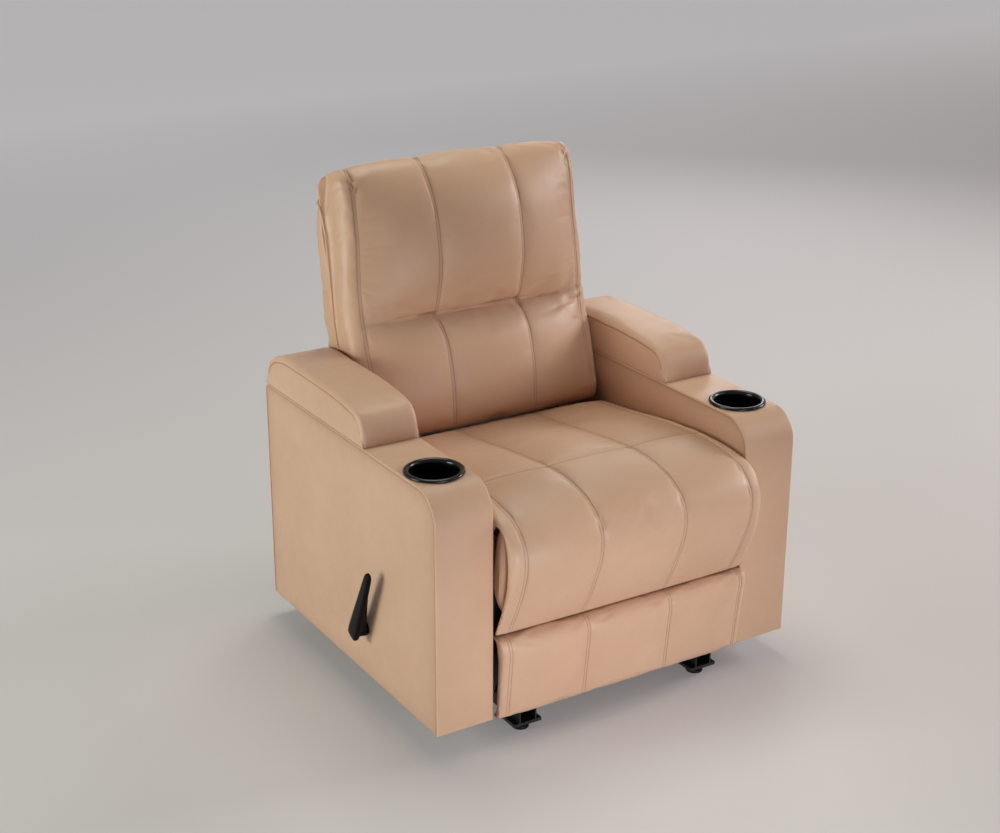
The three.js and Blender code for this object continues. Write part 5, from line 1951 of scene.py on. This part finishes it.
@dataclass
class PullLever(Assembly):
    """The glossy pull lever on the right arm: a tapered paddle, a fin behind it and a hub."""

    axis: tuple[float, float] = (288.0, 165.0)
    lean: float = 25.0
    front: float = 466.0
    panel: float = 431.0
    paddle: Points = ((-18.2, 8.0, 2.6, 458.6), (-17.0, 12.2, 4.4, 458.9), (-13.8, 15.6, 6.0, 459.2),
                      (-8.0, 17.6, 6.9, 459.1), (0, 18.0, 7.0, 459.0), (14, 17.6, 7.0, 459.0),
                      (40, 16.2, 6.8, 459.2), (80, 14.0, 6.5, 459.5), (120, 11.8, 6.3, 459.7),
                      (150, 10.0, 6.0, 460.0), (162, 9.2, 5.7, 460.2), (168, 8.0, 5.0, 460.3),
                      (172.4, 5.8, 3.8, 460.4), (174.6, 3.2, 2.2, 460.4))
    fin: Points = ((-13.6, 6.0, 7.0, 444.5), (-12.0, 10.0, 10.0, 445.5), (-6.0, 12.6, 11.5, 446.5),
                   (8, 13.2, 11.5, 447.0), (36, 12.4, 8.6, 449.6), (72, 10.8, 5.6, 452.2),
                   (104, 9.0, 3.4, 454.2), (126, 7.2, 1.8, 455.6))

    def loft(self, name: str, sections: Points) -> Piece:
        """Model a rounded bar from one section, extruded and resized along the lever.

        Args:
            name: The piece's name.
            sections: For each section, its place along the lever, its half width, its half thickness
                and its distance from the chair's middle.

        Returns:
            The new object.
        """
        lean = math.radians(self.lean)
        ahead = np.array([0, -math.sin(lean), math.cos(lean)])
        axes = [list(row) for row in Matrix.Rotation(lean, 3, "X").transposed()]
        middles = [placed(np.array([-depth, *self.axis]) + ahead * place) for place, _, _, depth in sections]
        deselect()
        bpy.ops.mesh.primitive_plane_add(size=0.002, location=middles[0], rotation=(lean, 0, 0))
        piece = bpy.context.object
        piece.name = name
        bpy.ops.object.transform_apply()
        with editing(piece):
            bpy.ops.mesh.bevel(offset=0.0006, segments=5, affect="VERTICES")
            bpy.ops.mesh.select_all(action="SELECT")
            wide, thick = 1.0, 1.0
            for number, (_, half_width, half_thickness, _) in enumerate(sections):
                if number:
                    step = middles[number] - middles[number - 1]
                    bpy.ops.mesh.extrude_region_move(TRANSFORM_OT_translate={"value": tuple(step)})
                bpy.ops.transform.resize(value=(half_thickness / thick, half_width / wide, 1),
                                         orient_type="GLOBAL", orient_matrix=axes,
                                         orient_matrix_type="GLOBAL", center_override=tuple(middles[number]))
                wide, thick = half_width, half_thickness
        smooth = piece.modifiers.new("smooth", "SUBSURF")
        smooth.levels = smooth.render_levels = 1
        apply_modifiers(piece)
        return closed_outwards(piece)

    def hub(self) -> Piece:
        """Model the hub between the arm's side and the paddle.

        Returns:
            The hub.
        """
        profile = [(12.5, -self.panel), (14.4, -self.panel - 1.2), (15, -self.panel - 3),
                   (15, -self.panel - 12), (14.2, -self.panel - 14), (13.4, -452.5)]
        return turned("lever_hub", (0, *self.axis), profile, 40, sideways=True)

    def build(self) -> None:
        """Build the lever's paddle, fin and hub."""
        for piece in (self.loft("lever_paddle", self.paddle), self.loft("lever_fin", self.fin), self.hub()):
            shade(piece, 40)
            finish_piece(piece, "lever", self.finishes.grip, ["lever_handle"])


@dataclass
class Feet(Assembly):
    """The glide feet under the base rails."""

    places: tuple[tuple[str, float, float], ...] = (
        ("glide_front_left", 220, 33), ("glide_front_right", -220, 33),
        ("glide_rear_left", 220, 595), ("glide_rear_right", -220, 595))

    def build(self) -> None:
        """Build each glide with its rounded disc, its stem and its lock nut."""
        profile = [(15, 0), (17.2, 0.5), (18, 2), (18, 5), (17.4, 6.2), (15.8, 6.9), (12, 8.2), (9.6, 9.6),
                   (9.0, 11.0), (9.0, 12.0), (7.6, 12.0), (7.6, 17.6)]
        for name, x, y in self.places:
            glide = turned(f"{name}_moulded", (x, y, 0), profile, 40)
            finish_piece(glide, "base", self.finishes.plastic, [name])


@dataclass
class Frame(Assembly):
    """The frame's own solids, which keep their shapes and get their self.finishes."""

    def build(self) -> None:
        """Give every visible CAD node its material."""
        looks = self.finishes
        rules = (("base_rail", looks.steel), ("seat_side_rail", looks.stained),
                 ("seat_front_rail", looks.stained), ("board", looks.plywood), ("seat_spring", looks.zinc),
                 ("back_spring", looks.zinc), ("legrest_spring", looks.zinc), ("lever_shaft", looks.zinc),
                 ("rail", looks.hardwood), ("post", looks.hardwood), ("apron", looks.lining))
        for name, node in sorted(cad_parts.items()):
            material = next((chosen for word, chosen in rules if word in name), looks.steel)
            for place in range(len(node.material_slots)):
                node.material_slots[place].material = material
            if not node.material_slots:
                node.data.materials.append(material)
        LOG.info("dressed %d frame nodes", len(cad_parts))


@dataclass(frozen=True)
class Lamp:
    """One soft lamp with a square face: lengths in metres, power in watts, beam in degrees."""

    name: str
    place: tuple[float, float, float]
    aim: tuple[float, float, float]
    size: float
    power: float
    colour: Colour
    beam: float = 180.0

    def hang(self) -> None:
        """Hang the lamp."""
        light = bpy.data.lights.new(self.name, "AREA")
        light.shape = "SQUARE"
        light.size = self.size
        light.energy = self.power
        light.spread = math.radians(self.beam)
        light.color = self.colour
        holder = bpy.data.objects.new(self.name, light)
        turn = (Vector(self.aim) - Vector(self.place)).to_track_quat("-Z", "Y").to_matrix().to_4x4()
        holder.matrix_world = Matrix.Translation(self.place) @ turn
        bpy.context.scene.collection.objects.link(holder)


@dataclass
class Studio:
    """The camera, the lamps and the plain pale floor."""

    eye: tuple[float, float, float] = (-1884.2, -2574.5, 1852.0)
    focal: float = 1760.85
    yaw: float = 31.761
    pitch: float = 20.959
    roll: float = 0.169
    near_floor_painted_light: Colour = (204, 195, 192)
    far_floor: Colour = (186, 183, 184)
    backdrop: Colour = (206, 204, 208)
    near_lift: float = 0.22
    far_lift: float = 0.82
    lamps: tuple[Lamp, ...] = (
        Lamp("key", (3.0, -2.7, 2.3), (0.1, 0.0, 0.4), 1.4, 12, (1.0, 0.96, 0.93)),
        Lamp("front", (-0.32, -2.0, 0.15), (-0.1, -0.4, 0.0), 1.0, 5.2, (0.92, 1.0, 1.06), 66),
        Lamp("right", (4.2, -0.8, 2.0), (0.1, 0.0, 0.4), 1.4, 86, (0.97, 0.98, 1.0)),
        Lamp("left", (-3.3, 0.5, 0.9), (-0.4, 0.1, 0.4), 1.4, 66, (0.92, 1.02, 0.96)),
        Lamp("above", (0.3, 0.8, 3.4), (0.0, 0.0, 0.5), 1.6, 42, (0.98, 1.02, 0.9)),
        Lamp("back", (3.0, 3.0, 2.0), (0.1, 0.1, 0.4), 1.4, 20, (1.0, 1.0, 1.0)))

    def camera(self) -> None:
        """Set up the camera at the photograph's place."""
        yaw, pitch, roll = (math.radians(angle) for angle in (self.yaw, self.pitch, self.roll))
        level = math.cos(pitch)
        forward = Vector((math.sin(yaw) * level, math.cos(yaw) * level, -math.sin(pitch)))
        right = Vector((math.cos(yaw), -math.sin(yaw), 0))
        up = right.cross(forward)
        across = right * math.cos(roll) + up * math.sin(roll)
        upward = up * math.cos(roll) - right * math.sin(roll)
        turn = Matrix((across, upward, -forward)).transposed().to_4x4()
        lens = bpy.data.cameras.new("camera")
        lens.sensor_width = 36
        lens.lens = self.focal / 1000 * 36
        lens.clip_end = 200
        camera = bpy.data.objects.new("camera", lens)
        camera.matrix_world = Matrix.Translation(placed(self.eye)) @ turn
        bpy.context.scene.collection.objects.link(camera)
        bpy.context.scene.camera = camera

    def floor(self) -> None:
        """Lay the floor, with painted warm light near the camera and cooler far away, and as pale there for
        the camera.
        """
        deselect()
        bpy.ops.mesh.primitive_grid_add(x_subdivisions=4, y_subdivisions=4, size=80,
                                        location=(0, 0, -MM / 2))
        floor = bpy.context.object
        floor.name = "studio_floor"
        bpy.ops.object.transform_apply()
        material, nodes, shader, place = start_material("studio_floor")
        parts = nodes.add("SeparateXYZ", Vector=place)
        far = nodes.math("SUBTRACT", parts.outputs["Y"], nodes.math("MULTIPLY", parts.outputs["X"], 0.35))
        # painted light: the floor is lighter and warmer towards the camera and the right, a painted pool of
        # warm light
        colour = nodes.mix(nodes.span(far, -2.0, 4.0), rgb(*self.near_floor_painted_light), rgb(*self.far_floor))
        lift = nodes.span(parts.outputs["Y"], 0.6, 6.0, self.near_lift, self.far_lift)
        nodes.fit(shader, Base_Color=colour, Roughness=0.6, Specular_IOR_Level=0.2, Emission_Color=colour,
                  Emission_Strength=nodes.math("MULTIPLY", nodes.seen(), lift))
        floor.data.materials.append(material)

    def build(self) -> None:
        """Set up the camera, the floor and the light."""
        self.camera()
        self.floor()
        scene = bpy.context.scene
        scene.view_settings.view_transform = "Standard"
        world = bpy.data.worlds.new("studio")
        scene.world = world
        world.use_nodes = True
        nodes = Nodes(world.node_tree)
        back = world.node_tree.nodes["Background"]
        nodes.fit(back, Color=rgb(*self.backdrop), Strength=nodes.span(nodes.seen(), 0, 1, 0.05, 0.6))
        for lamp in self.lamps:
            lamp.hang()


def main() -> None:
    """Build the chair's pieces in order, then the studio round them."""
    logging.basicConfig(level=logging.INFO, format="%(message)s")
    finishes = Finishes()
    thread = Thread()
    Frame(finishes).build()
    for side in Side:
        Arm(finishes, Padding(pressure=2.0, frames=12, reach=0.004, slack=0.0), side).build()
    Seat(finishes, Padding(pressure=3.0, frames=14, reach=0.006, slack=0.006), thread).build()
    Back(finishes, Padding(pressure=3.0, frames=14, reach=0.006, slack=0.008), thread).build()
    Legrest(finishes, Padding(pressure=2.5, frames=14, reach=0.006, slack=0.006), thread).build()
    PullLever(finishes).build()
    Feet(finishes).build()
    Studio().build()


if __name__ == "__main__":
    main()
